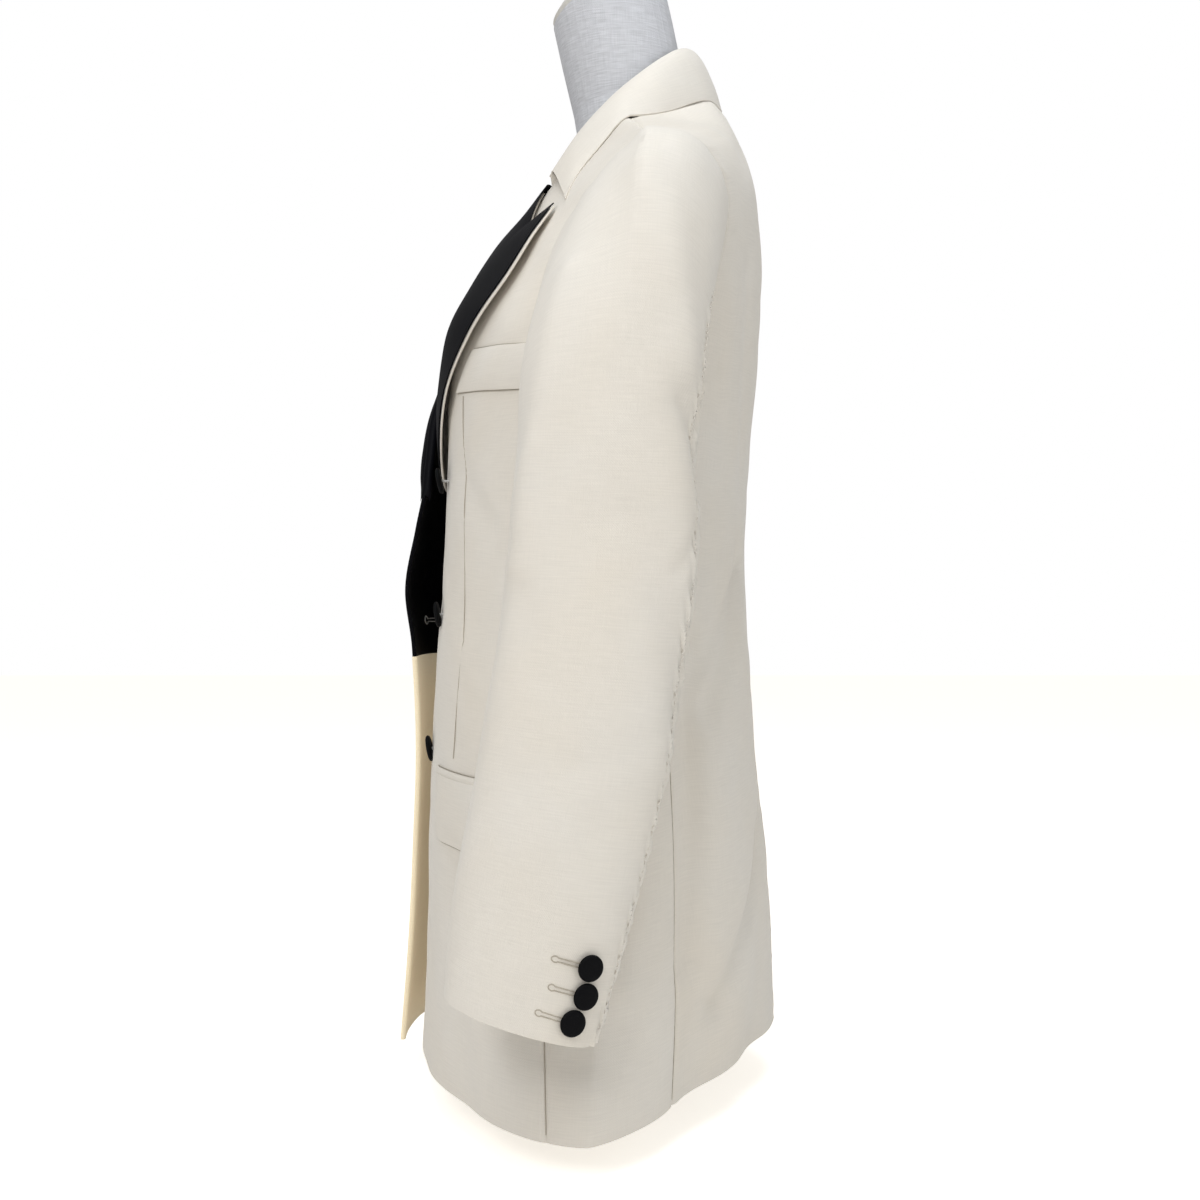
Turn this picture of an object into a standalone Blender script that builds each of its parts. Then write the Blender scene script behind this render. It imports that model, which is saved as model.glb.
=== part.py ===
"""Double breasted blazer, worn open, on a limbless dress form.

Metres, +Z up. The front faces -Y and the wearer's left is +X. Heights are above
the floor. Every cloth piece is a wall of one cloth thickness on a shared body
surface or sleeve surface, so pieces that meet at a seam lie a seam gap apart.
"""
import math
from collections import namedtuple

import bmesh
import bpy
import numpy as np

CLOTH = 0.0015            # thickness of one layer of suiting
SATIN = 0.0010            # thickness of the satin facing
GAP = 0.0003              # clearance between pieces that touch
LEFT = 1.0
RIGHT = -1.0
BACK_CENTRE = 0.5 * math.pi

# Body rings of the closed coat, hem to shoulder ridge.
Ring = namedtuple("Ring", "height half_width centre front back front_power back_power")
BODY = (
    Ring(0.030, 0.2320, -0.008, -0.1400, 0.1390, 1.80, 1.34),
    Ring(0.105, 0.2165, -0.004, -0.1360, 0.1368, 1.92, 1.56),
    Ring(0.185, 0.2030, 0.000, -0.1325, 0.1310, 2.06, 1.79),
    Ring(0.269, 0.1870, 0.004, -0.1285, 0.1215, 2.20, 2.00),
    Ring(0.325, 0.1740, 0.007, -0.1265, 0.1180, 2.20, 2.05),
    Ring(0.375, 0.1660, 0.010, -0.1220, 0.1148, 2.20, 2.10),
    Ring(0.425, 0.1630, 0.013, -0.1200, 0.1144, 2.20, 2.10),
    Ring(0.475, 0.1660, 0.016, -0.1190, 0.1165, 2.20, 2.15),
    Ring(0.535, 0.1735, 0.020, -0.1170, 0.1215, 2.25, 2.20),
    Ring(0.575, 0.1775, 0.024, -0.1080, 0.1240, 2.30, 2.25),
    Ring(0.615, 0.1810, 0.027, -0.0860, 0.1258, 2.30, 2.30),
    Ring(0.647, 0.1835, 0.028, -0.0670, 0.1256, 2.30, 2.30),
    Ring(0.675, 0.1860, 0.030, -0.0500, 0.1235, 2.30, 2.30),
    Ring(0.707, 0.1885, 0.030, -0.0340, 0.1200, 2.30, 2.30),
    Ring(0.739, 0.1910, 0.029, -0.0140, 0.1100, 2.30, 2.30),
    Ring(0.766, 0.1930, 0.027, 0.0020, 0.0970, 2.30, 2.30),
    Ring(0.780, 0.1940, 0.025, 0.0100, 0.0830, 2.30, 2.30),
    Ring(0.788, 0.1948, 0.022, 0.0170, 0.0500, 2.30, 2.30),
    Ring(0.790, 0.1950, 0.0209, 0.0208, 0.0210, 2.30, 2.30),
)
CHEST = 0.500             # above this height the rings bend up to the shoulder line
RIDGE_SOFT = 0.010        # front and back share one upward normal along the shoulder seam
HEM_BLEND = 0.10          # the hem's own curve fades out over this run
HEM_DIP_SIDE = 0.005      # the hem hangs lower at the sides
HEM_LIFT_BACK = 0.0125    # and is cut a little shorter at the centre back

# Shoulder line from the neck outwards.
Shoulder = namedtuple("Shoulder", "across height along")
SHOULDER = (
    Shoulder(0.000, 0.7900, 0.0200),
    Shoulder(0.040, 0.7690, 0.0205),
    Shoulder(0.075, 0.7415, 0.0215),
    Shoulder(0.130, 0.7155, 0.0260),
    Shoulder(0.188, 0.6900, 0.0310),
    Shoulder(0.240, 0.6680, 0.0340),
)

# Panel borders as angles round the body: -90 is centre front, 0 the side, 90 centre back.
Border = namedtuple("Border", "height degrees")
FRONT_BORDER = (
    Border(0.030, -14.0), Border(0.269, -19.6), Border(0.375, -24.0), Border(0.475, -23.6),
    Border(0.570, -18.5), Border(0.600, -26.0), Border(0.640, -33.0), Border(0.690, -34.0),
    Border(0.740, -29.0), Border(0.775, -22.0), Border(0.790, -16.5),
)
BACK_BORDER = (
    Border(0.030, 34.0), Border(0.105, 31.0), Border(0.269, 24.0), Border(0.375, 18.5),
    Border(0.475, 23.0), Border(0.600, 23.6), Border(0.640, 31.0), Border(0.690, 33.0),
    Border(0.740, 28.0), Border(0.775, 21.5), Border(0.790, 16.5),
)
FRONT_UNDERARM = 0.570    # where the front's side seam meets the armhole
BACK_UNDERARM = 0.600
# Bottom of the armhole across the side body, from its front seam to its back seam.
Underarm = namedtuple("Underarm", "share height")
UNDERARM = (
    Underarm(0.00, FRONT_UNDERARM), Underarm(0.25, 0.546), Underarm(0.50, 0.538),
    Underarm(0.75, 0.553), Underarm(1.00, BACK_UNDERARM),
)

# Front edge, roll line and neckline, centre line outwards positive, by height.
Edge = namedtuple("Edge", "across height")
LEFT_EDGE = (
    Edge(-0.060, 0.0300), Edge(-0.066, 0.2000), Edge(-0.070, 0.4650), Edge(-0.030, 0.4970),
    Edge(0.006, 0.5320), Edge(0.032, 0.5650), Edge(0.047, 0.6000), Edge(0.057, 0.6450),
    Edge(0.064, 0.6860), Edge(0.069, 0.7150), Edge(0.075, 0.7413),
)
RIGHT_EDGE = (
    Edge(-0.019, 0.0300), Edge(-0.019, 0.2000), Edge(-0.018, 0.3800), Edge(-0.012, 0.4550),
    Edge(0.008, 0.4900), Edge(0.026, 0.5300), Edge(0.040, 0.5680), Edge(0.050, 0.6050),
    Edge(0.058, 0.6460), Edge(0.064, 0.6860), Edge(0.069, 0.7150), Edge(0.075, 0.7413),
)
BREAK_LEFT = 2            # row of the edge tables where the lapel starts to turn
BREAK_RIGHT = 3
GORGE_HEIGHT = 0.686      # the roll line meets the gorge here

# Outer edge of each lapel, break to peak.
LAPEL_LEFT = (
    Edge(-0.070, 0.4520), Edge(-0.012, 0.4630), Edge(0.031, 0.4860), Edge(0.055, 0.5090),
    Edge(0.080, 0.5360), Edge(0.104, 0.5600), Edge(0.1195, 0.5840), Edge(0.127, 0.6100),
    Edge(0.1265, 0.6360), Edge(0.1225, 0.6580),
)
LAPEL_RIGHT = (
    Edge(-0.012, 0.4400), Edge(0.018, 0.4590), Edge(0.050, 0.4900), Edge(0.080, 0.5265),
    Edge(0.104, 0.5600), Edge(0.1195, 0.5840), Edge(0.127, 0.6100), Edge(0.1265, 0.6360),
    Edge(0.1225, 0.6580),
)
NOTCH = Edge(0.100, 0.6480)
NOTCH_SHARE = 0.57        # the notch's place along the lapel's top edge
NOTCH_FADE = 0.22         # the notch's dip fades out over this share of the lapel
LAPEL_LIFT = 0.0050       # the lapel stands this far off the front between its edges
SATIN_SHARE = 0.975       # the satin stops short of the cream edge

# How far each front stands forward of the closed coat near the centre, by height.
Swing = namedtuple("Swing", "height left right")
SWING = (
    Swing(0.030, 0.0000, 0.0170), Swing(0.105, 0.0000, 0.0150), Swing(0.185, 0.0000, 0.0145),
    Swing(0.265, 0.0000, 0.0160), Swing(0.337, 0.0000, 0.0225), Swing(0.383, 0.0000, 0.0320),
    Swing(0.430, 0.0000, 0.0260), Swing(0.471, 0.0000, 0.0190), Swing(0.520, 0.0010, 0.0170),
    Swing(0.555, 0.0030, 0.0140), Swing(0.590, 0.0090, 0.0130), Swing(0.645, 0.0120, 0.0120),
    Swing(0.690, 0.0060, 0.0060), Swing(0.740, 0.0000, 0.0000),
)
SWING_FULL = 0.040        # all of the swing inside this distance from the centre
SWING_NONE = 0.150        # and none beyond this one

# Large soft folds of the body: gaussian troughs along a line on the surface.
Fold = namedtuple("Fold", "degrees_low height_low degrees_high height_high depth spread")
BODY_FOLDS = (
    Fold(40.0, 0.020, 27.0, 0.290, -0.0075, 0.026),
    Fold(62.0, 0.030, 72.0, 0.190, -0.0045, 0.020),
    Fold(36.0, 0.335, 66.0, 0.400, -0.0055, 0.018),
    Fold(-44.0, 0.030, -52.0, 0.180, -0.0040, 0.022),
)

# Sleeve rings down the arm, from below the underarm to the cuff.
Arm = namedtuple("Arm", "height across along half_thick half_deep tilt")
ARM = (
    Arm(0.500, 0.2230, 0.0070, 0.0430, 0.0590, 0.0),
    Arm(0.450, 0.2270, 0.0050, 0.0420, 0.0600, 1.0),
    Arm(0.375, 0.2335, -0.0010, 0.0410, 0.0605, 3.0),
    Arm(0.274, 0.2440, -0.0166, 0.0400, 0.0595, 7.0),
    Arm(0.187, 0.2520, -0.0353, 0.0380, 0.0560, 12.0),
    Arm(0.140, 0.2560, -0.0450, 0.0370, 0.0525, 15.0),
    Arm(0.1165, 0.2580, -0.0495, 0.0365, 0.0497, 17.0),
)
ARMHOLE_CENTRE_Y = 0.027
ARMHOLE_CENTRE_Z = 0.614
ARMHOLE_HALF_DEEP = 0.060
ARMHOLE_HALF_HIGH = 0.077
CAP_SHARE = 0.34          # share of the sleeve's length that is the cap
CAP_OUT_TOP = 0.056       # how far the cap runs out before it turns down
CAP_OUT_UNDER = 0.008
CAP_DROP_TOP = 0.085
CAP_DROP_UNDER = 0.016
SLEEVE_START = 0.0018     # the sleeve starts this far outside the armhole edge
BACK_SEAM = 80.0          # sleeve seams, degrees round the arm from its outer side
FRONT_SEAM = -125.0
# Folds of the sleeve: degrees and share of the length at both ends, depth and width.
SleeveFold = namedtuple("SleeveFold", "degrees_a share_a degrees_b share_b depth spread")
SLEEVE_FOLDS = (
    SleeveFold(-38.0, 0.22, -62.0, 0.52, 0.0040, 0.013),
    SleeveFold(60.0, 0.34, 88.0, 0.42, -0.0060, 0.016),
    SleeveFold(8.0, 0.12, 62.0, 0.33, 0.0030, 0.012),
    SleeveFold(30.0, 0.52, 84.0, 0.60, -0.0045, 0.018),
)

# Collar, centre back to the gorge: fold line, and where the leaf's edge lies.
Collar = namedtuple("Collar", "roll_x roll_y roll_z edge_x edge_y")
COLLAR = (
    Collar(0.000, 0.0704, 0.8100, 0.000, 0.0968),
    Collar(0.030, 0.0620, 0.8020, 0.036, 0.0850),
    Collar(0.050, 0.0460, 0.7870, 0.068, 0.0580),
    Collar(0.060, 0.0260, 0.7690, 0.092, 0.0330),
    Collar(0.064, 0.0060, 0.7500, 0.106, 0.0100),
    Collar(0.064, -0.0170, 0.7250, 0.114, -0.0100),
    Collar(0.064, -0.0370, 0.6960, 0.131, -0.0240),
)
LEAF_SEAT = 0.0028        # the leaf's outer face over the stand's top edge
STAND_INSET = 0.0024      # the stand rises just inside the neckline
STAND_RAISE = 0.0017
LEAF_LIFT = 0.0038        # the leaf's outer face over the coat at its edge
LEAF_ROUND = 0.013        # how far the leaf rounds out at the fold

# Pockets on the body surface, heights of the left and right ends.
FLAP_FRONT_X = 0.086      # the flap pocket's front end, out from the centre
FLAP_BACK_DEGREES = -10.0
FLAP_TOP = 0.2520
FLAP_DROP_BACK = 0.0045   # the pocket falls a little towards the side
FLAP_DEEP = 0.0520
FLAP_CORNER = 0.014
JET_DEEP = 0.0042
POCKET_SEAT = 0.0009      # pocket pieces lie this far off the front
WELT_TOP = (Edge(0.110, 0.5560), Edge(0.160, 0.5520))
WELT_BOTTOM = (Edge(0.085, 0.5285), Edge(0.158, 0.5215))

# Right front inside, by the front's own rows and columns: satin above, cream below.
FACING_SPLIT_ROW = 10
FACING_TOP_ROW = 14
FACING_COLUMNS = 4

# Buttons.
FRONT_BUTTON_RADIUS = 0.0100
FRONT_BUTTON_THICK = 0.0042
FRONT_BUTTON_ROWS = (0.4660, 0.3640, 0.2620)
FRONT_BUTTON_LEFT_X = 0.0610
FRONT_BUTTON_RIGHT_X = 0.0740
CUFF_BUTTON_RADIUS = 0.0083
CUFF_BUTTON_THICK = 0.0036
CUFF_BUTTON_SHARES = (0.922, 0.950, 0.977)
CUFF_BUTTON_DEGREES = 40.0
BUTTON_SEAT = 0.0006      # a button's back lies this far off the cloth
BUTTON_DROOP = 0.15       # the left front buttons hang forward on their shanks
BUTTON_HANG = 0.0008      # and stand this much further off at their middle
BUTTON_SIDES = 12

# Dress form: horizontal rings of the torso, then tilted rings of the neck.
Torso = namedtuple("Torso", "height half_width centre front back power")
TORSO = (
    Torso(0.100, 0.1400, 0.000, -0.0850, 0.0800, 2.2),
    Torso(0.115, 0.1480, 0.000, -0.0890, 0.0860, 2.2),
    Torso(0.170, 0.1590, 0.002, -0.0930, 0.0940, 2.2),
    Torso(0.230, 0.1620, 0.004, -0.0940, 0.0980, 2.2),
    Torso(0.300, 0.1500, 0.004, -0.0880, 0.0920, 2.2),
    Torso(0.375, 0.1280, 0.004, -0.0760, 0.0780, 2.2),
    Torso(0.430, 0.1250, 0.004, -0.0780, 0.0780, 2.2),
    Torso(0.490, 0.1350, 0.008, -0.0890, 0.0860, 2.2),
    Torso(0.545, 0.1450, 0.013, -0.0980, 0.0940, 2.2),
    Torso(0.590, 0.1500, 0.019, -0.0880, 0.1000, 2.1),
    Torso(0.630, 0.1540, 0.024, -0.0600, 0.1020, 2.0),
    Torso(0.660, 0.1560, 0.027, -0.0400, 0.1000, 1.8),
    Torso(0.682, 0.1570, 0.028, -0.0290, 0.0960, 1.7),
)
RIDGE_RINGS = (0.148, 0.130, 0.112, 0.096, 0.082)
RIDGE_FRONT_LOW = -0.0180
RIDGE_FRONT_HIGH = -0.0160
RIDGE_BACK_LOW = 0.0840
RIDGE_BACK_HIGH = 0.0640
RIDGE_POWER = 1.25
FORM_SEAT = 0.0023        # the form's shoulders lie this far under the coat's outer face
Neck = namedtuple("Neck", "front_y front_z back_y back_z half_width")
NECK = (
    Neck(-0.0176, 0.742, 0.0680, 0.750, 0.0520),
    Neck(-0.0205, 0.760, 0.0670, 0.778, 0.0475),
    Neck(-0.0250, 0.779, 0.0640, 0.806, 0.0475),
    Neck(-0.0300, 0.800, 0.0580, 0.835, 0.0475),
    Neck(-0.0370, 0.832, 0.0480, 0.878, 0.0470),
)
NECK_CAP_THICK = 0.008
NECK_CAP_INSET = 0.0015
STEM_RADIUS = 0.0140
BASE_RADIUS = 0.1000
BASE_THICK = 0.0120
BASE_BEVEL = 0.0030
BASE_Y = -0.0250
RING_SIDES = 36

# Grid sizes: rows up the garment and columns round it.
SIDE_ROWS = 19
ARMHOLE_ROWS = 10
FRONT_COLUMNS = 9
SIDE_COLUMNS = 5
NECK_COLUMNS = 6
SLEEVE_ROWS = 25
UPPER_FRONT_COLUMNS = 8
UPPER_BACK_COLUMNS = 6
UNDER_COLUMNS = 8
LAPEL_GRID = (13, 8)
LEAF_GRID = (23, 5)
STAND_GRID = (23, 3)

COLOURS = {
    "cloth": ((0.80, 0.77, 0.70, 1.0), 0.85, 0.0),
    "satin": ((0.012, 0.012, 0.015, 1.0), 0.30, 0.0),
    "button": ((0.010, 0.010, 0.012, 1.0), 0.40, 0.0),
    "linen": ((0.60, 0.61, 0.63, 1.0), 0.90, 0.0),
    "cap": ((0.70, 0.68, 0.64, 1.0), 0.60, 0.0),
    "steel": ((0.62, 0.62, 0.62, 1.0), 0.35, 0.8),
}


# ---------------------------------------------------------------- curves
def column(table, name):
    """Return one named column of a table as an array."""
    return np.array([getattr(row, name) for row in table], dtype=float)


def smooth(stations, values, at):
    """Read a smooth curve through values at increasing stations."""
    stations = np.asarray(stations, dtype=float)
    values = np.asarray(values, dtype=float)
    slopes = np.gradient(values, stations)
    at = np.clip(at, stations[0], stations[-1])
    cell = np.clip(np.searchsorted(stations, at, side="right") - 1, 0, len(stations) - 2)
    step = stations[cell + 1] - stations[cell]
    t = (at - stations[cell]) / step
    rise = t * t * (3.0 - 2.0 * t)
    start = t * (1.0 - t) ** 2 * step * slopes[cell]
    end = t * t * (t - 1.0) * step * slopes[cell + 1]
    return values[cell] * (1.0 - rise) + values[cell + 1] * rise + start + end


def smoothstep(low, high, at):
    """Rise from 0 at low to 1 at high without a corner."""
    t = np.clip((at - low) / (high - low), 0.0, 1.0)
    return t * t * (3.0 - 2.0 * t)


def signed_power(base, power):
    """Raise the size of a signed value to a power and keep its sign."""
    return np.sign(base) * np.abs(base) ** power


def mix(a, b, share):
    """Straight blend from a to b."""
    return a + (b - a) * share


# ---------------------------------------------------------------- body surface
def body_runs():
    """Distance up the middle of front and back profiles to each ring."""
    rise = np.diff(column(BODY, "height"))
    lean = 0.5 * (np.abs(np.diff(column(BODY, "front"))) + np.abs(np.diff(column(BODY, "back"))))
    return np.concatenate(([0.0], np.cumsum(np.hypot(rise, lean))))


BODY_RUNS = body_runs()
RIDGE_RUN = BODY_RUNS[-1]
RIDGE_TOP = BODY[-1].height
RIDGE_Y = BODY[-1].centre
BUST_RUN = BODY_RUNS[8]


def body_value(name, run):
    """Read one column of the body rings at a run."""
    return smooth(BODY_RUNS, column(BODY, name), run)


def run_at_height(height):
    """Run of the ring with this own height."""
    return np.interp(height, column(BODY, "height"), BODY_RUNS)


def shoulder_rise(run):
    """Share of the shoulder line's shape that a ring takes."""
    ring_height = body_value("height", run)
    return np.clip((ring_height - CHEST) / (RIDGE_TOP - CHEST), 0.0, 1.0) ** 2


def fold_depth(theta, height):
    """Depth of the body's folds, from each fold's line in angle and height."""
    depth = np.zeros(np.broadcast(theta, height).shape)
    arm = 0.17
    for fold in BODY_FOLDS:
        low = np.array((math.radians(fold.degrees_low) * arm, fold.height_low))
        high = np.array((math.radians(fold.degrees_high) * arm, fold.height_high))
        depth += line_trough(theta * arm, height, low, high, fold.depth, fold.spread)
    return depth


def line_trough(u, v, start, end, depth, spread):
    """Gaussian trough along a line, fading towards both of its ends."""
    along = end - start
    length = float(np.hypot(along[0], along[1]))
    t = ((u - start[0]) * along[0] + (v - start[1]) * along[1]) / length ** 2
    off_u = u - start[0] - along[0] * np.clip(t, 0.0, 1.0)
    off_v = v - start[1] - along[1] * np.clip(t, 0.0, 1.0)
    return depth * np.exp(-(off_u ** 2 + off_v ** 2) / spread ** 2)


def bare_body(theta, run, side):
    """Body surface in left-hand coordinates, without folds."""
    front = np.sin(theta) < 0.0
    centre = body_value("centre", run)
    power = np.where(front, body_value("front_power", run), body_value("back_power", run))
    reach = np.where(front, centre - body_value("front", run), body_value("back", run) - centre)
    across = body_value("half_width", run) * signed_power(np.cos(theta), 2.0 / power)
    along = centre + reach * signed_power(np.sin(theta), 2.0 / power)
    rise = shoulder_rise(run)
    line_z = smooth(column(SHOULDER, "across"), column(SHOULDER, "height"), np.abs(across))
    line_y = smooth(column(SHOULDER, "across"), column(SHOULDER, "along"), np.abs(across))
    height = body_value("height", run) - (RIDGE_TOP - line_z) * rise
    along = along + (line_y - RIDGE_Y) * rise
    hem = np.clip(1.0 - run / HEM_BLEND, 0.0, 1.0) ** 2
    lift = np.where(front, 0.0, HEM_LIFT_BACK * np.sin(theta) ** 2)
    height = height + hem * (lift - HEM_DIP_SIDE * np.cos(theta) ** 2)
    amount = smooth(column(SWING, "height"), column(SWING, "left" if side > 0 else "right"), height)
    weight = 1.0 - smoothstep(SWING_FULL, SWING_NONE, across)
    along = along - np.where(front, amount * weight, 0.0)
    return np.stack(np.broadcast_arrays(across, along, height), axis=-1)


def body_normal(theta, run, side):
    """Outward unit normal of the body surface from central differences."""
    turn = 1e-3
    step = 4e-4
    round_way = bare_body(theta + turn, run, side) - bare_body(theta - turn, run, side)
    up_way = bare_body(theta, run + step, side) - bare_body(theta, run - step, side)
    normal = np.cross(round_way, up_way)
    normal /= np.linalg.norm(normal, axis=-1, keepdims=True)
    normal[..., 1] *= smoothstep(0.0, RIDGE_SOFT, RIDGE_RUN - run)
    return normal / np.linalg.norm(normal, axis=-1, keepdims=True)


def body(theta, run, side, lift):
    """Point of the coat's body, lifted off its outer face, in world coordinates."""
    theta, run, lift = np.broadcast_arrays(theta, run, lift)
    point = bare_body(theta, run, side)
    depth = fold_depth(theta, point[..., 2]) + lift
    point = point + body_normal(theta, run, side) * depth[..., None]
    return point * np.array((side, 1.0, 1.0))


def angle_at(across, run, front):
    """Angle round a ring at a distance out from the centre line."""
    power = body_value("front_power" if front else "back_power", run)
    share = np.clip(across / body_value("half_width", run), -1.0, 1.0)
    angle = np.arccos(signed_power(share, power / 2.0))
    return -angle if front else angle


def run_at_point(across, height, side):
    """Run on the front where the surface has this distance out and height."""
    low = np.zeros_like(across)
    high = np.full_like(across, RIDGE_RUN)
    for _ in range(30):
        middle = 0.5 * (low + high)
        theta = angle_at(across, middle, True)
        below = bare_body(theta, middle, side)[..., 2] < height
        low = np.where(below, middle, low)
        high = np.where(below, high, middle)
    return 0.5 * (low + high)


def run_at_depth(across, along, front):
    """Run on the upper front or back where the surface has this along value."""
    low = np.full_like(across, BUST_RUN)
    high = np.full_like(across, RIDGE_RUN)
    for _ in range(30):
        middle = 0.5 * (low + high)
        value = bare_body(angle_at(across, middle, front), middle, LEFT)[..., 1]
        before = value < along if front else value > along
        low = np.where(before, middle, low)
        high = np.where(before, high, middle)
    return 0.5 * (low + high)


def border_angle(table, run):
    """Angle of a panel border at a run."""
    stations = run_at_height(column(table, "height"))
    return np.radians(smooth(stations, column(table, "degrees"), run))


def edge_curve(table, side):
    """Runs and distances out of an edge table's points."""
    across = column(table, "across")
    return run_at_point(across, column(table, "height"), side), across


# ---------------------------------------------------------------- meshes
def finish(name, mesh_data, material):
    """Make one closed object from points and faces, with its normals outward."""
    points, faces = mesh_data
    mesh = bpy.data.meshes.new(name)
    mesh.from_pydata([tuple(p) for p in points], [], faces)
    shape = bmesh.new()
    shape.from_mesh(mesh)
    bmesh.ops.recalc_face_normals(shape, faces=shape.faces)
    shape.to_mesh(mesh)
    shape.free()
    mesh.shade_smooth()
    mesh.set_sharp_from_angle(angle=math.radians(45.0))
    mesh.materials.append(material)
    piece = bpy.data.objects.new(name, mesh)
    bpy.context.scene.collection.objects.link(piece)
    return piece


def trimmed(grid, amount):
    """Pull the four borders of a grid inwards by half a seam gap."""
    grid = grid.copy()
    for axis in (0, 1):
        rows = np.moveaxis(grid, axis, 0)
        for border, near in ((0, 1), (-1, -2)):
            way = rows[near] - rows[border]
            length = np.linalg.norm(way, axis=-1, keepdims=True)
            rows[border] += way / length * amount
    return grid


def wall(outer, inner):
    """Closed wall between an outer and an inner grid of the same size."""
    outer = trimmed(outer, 0.5 * GAP)
    inner = trimmed(inner, 0.5 * GAP)
    rows, columns = outer.shape[:2]
    count = rows * columns
    index = np.arange(count).reshape(rows, columns)
    points = np.concatenate((outer.reshape(-1, 3), inner.reshape(-1, 3)))
    cells = np.stack((index[:-1, :-1], index[:-1, 1:], index[1:, 1:], index[1:, :-1]), axis=-1)
    cells = cells.reshape(-1, 4)
    rim = np.concatenate((index[0, :-1], index[:-1, -1], index[-1, :0:-1], index[:0:-1, 0]))
    following = np.roll(rim, -1)
    sides = np.stack((following, rim, rim + count, following + count), axis=-1)
    faces = np.concatenate((cells, cells[:, ::-1] + count, sides))
    return points, faces.tolist()


def tube(rings):
    """Closed solid through rings of the same size, with flat ends."""
    rings = np.asarray(rings)
    levels, sides = rings.shape[:2]
    index = np.arange(levels * sides).reshape(levels, sides)
    after = np.roll(index, -1, axis=1)
    cells = np.stack((index[:-1], after[:-1], after[1:], index[1:]), axis=-1).reshape(-1, 4)
    faces = cells.tolist()
    faces.append(index[0, ::-1].tolist())
    faces.append(index[-1].tolist())
    return rings.reshape(-1, 3), faces


def material(key):
    """Plain Principled material from the colour table."""
    colour, roughness, metallic = COLOURS[key]
    made = bpy.data.materials.new(key)
    made.use_nodes = True
    shader = made.node_tree.nodes["Principled BSDF"]
    shader.inputs["Base Color"].default_value = colour
    shader.inputs["Roughness"].default_value = roughness
    shader.inputs["Metallic"].default_value = metallic
    return made


def side_name(side):
    """Name of a side of the wearer."""
    return "left" if side > 0 else "right"


# ---------------------------------------------------------------- body panels
def body_wall(theta, run, side, outer_lift, inner_lift):
    """Wall between two lifts off the body surface."""
    return wall(body(theta, run, side, outer_lift), body(theta, run, side, inner_lift))


def seam_rows(underarm):
    """Runs of a panel's rows: the side body's rows, then the armhole's."""
    low = np.linspace(0.0, run_at_height(underarm), SIDE_ROWS)
    high = np.linspace(run_at_height(underarm), RIDGE_RUN, ARMHOLE_ROWS)
    return np.concatenate((low, high[1:]))


def front_grid(side):
    """Angles and runs of a front's grid, edge to seam by hem to shoulder."""
    table = LEFT_EDGE if side > 0 else RIGHT_EDGE
    run = seam_rows(FRONT_UNDERARM)
    edge_runs, edge_across = edge_curve(table, side)
    inner = angle_at(np.interp(run, edge_runs, edge_across), run, True)
    outer = border_angle(FRONT_BORDER, run)
    share = np.linspace(0.0, 1.0, FRONT_COLUMNS)
    return mix(inner[:, None], outer[:, None], share[None, :]), run


def front_panel(side):
    """Front from its edge, roll line and neckline to the side seam and armhole."""
    theta, run = front_grid(side)
    return body_wall(theta, run[:, None], side, 0.0, -CLOTH)


def side_panel(side):
    """Side body from hem to the bottom of the armhole."""
    share = np.linspace(0.0, 1.0, SIDE_COLUMNS)
    top = run_at_height(smooth(column(UNDERARM, "share"), column(UNDERARM, "height"), share))
    run = np.linspace(0.0, 1.0, SIDE_ROWS)[:, None] * top[None, :]
    theta = mix(border_angle(FRONT_BORDER, run), border_angle(BACK_BORDER, run), share[None, :])
    return body_wall(theta, run, side, 0.0, -CLOTH)


def back_neck_run(theta):
    """Run of the back neckline and shoulder seam at an angle."""
    half_width = body_value("half_width", RIDGE_RUN)
    across = half_width * np.abs(np.cos(theta)) ** (2.0 / BODY[-1].back_power)
    neck = run_at_height(0.780)
    fall = 1.0 - smoothstep(0.012, SHOULDER[2].across, across)
    return mix(RIDGE_RUN, neck, fall)


def back_panel(side):
    """Back from side seam and armhole to the centre back seam."""
    outer = border_angle(BACK_BORDER, RIDGE_RUN)
    neck_point = angle_at(SHOULDER[2].across, RIDGE_RUN, False)
    corner = (neck_point - outer) / (BACK_CENTRE - outer)
    shoulder = np.linspace(0.0, corner, FRONT_COLUMNS)
    share = np.concatenate((shoulder, np.linspace(corner, 1.0, NECK_COLUMNS)[1:]))
    top = back_neck_run(mix(outer, BACK_CENTRE, share))
    run = seam_rows(BACK_UNDERARM)[:, None] / RIDGE_RUN * top[None, :]
    theta = mix(border_angle(BACK_BORDER, run), BACK_CENTRE, share[None, :])
    return body_wall(theta, run, side, 0.0, -CLOTH)


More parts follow.
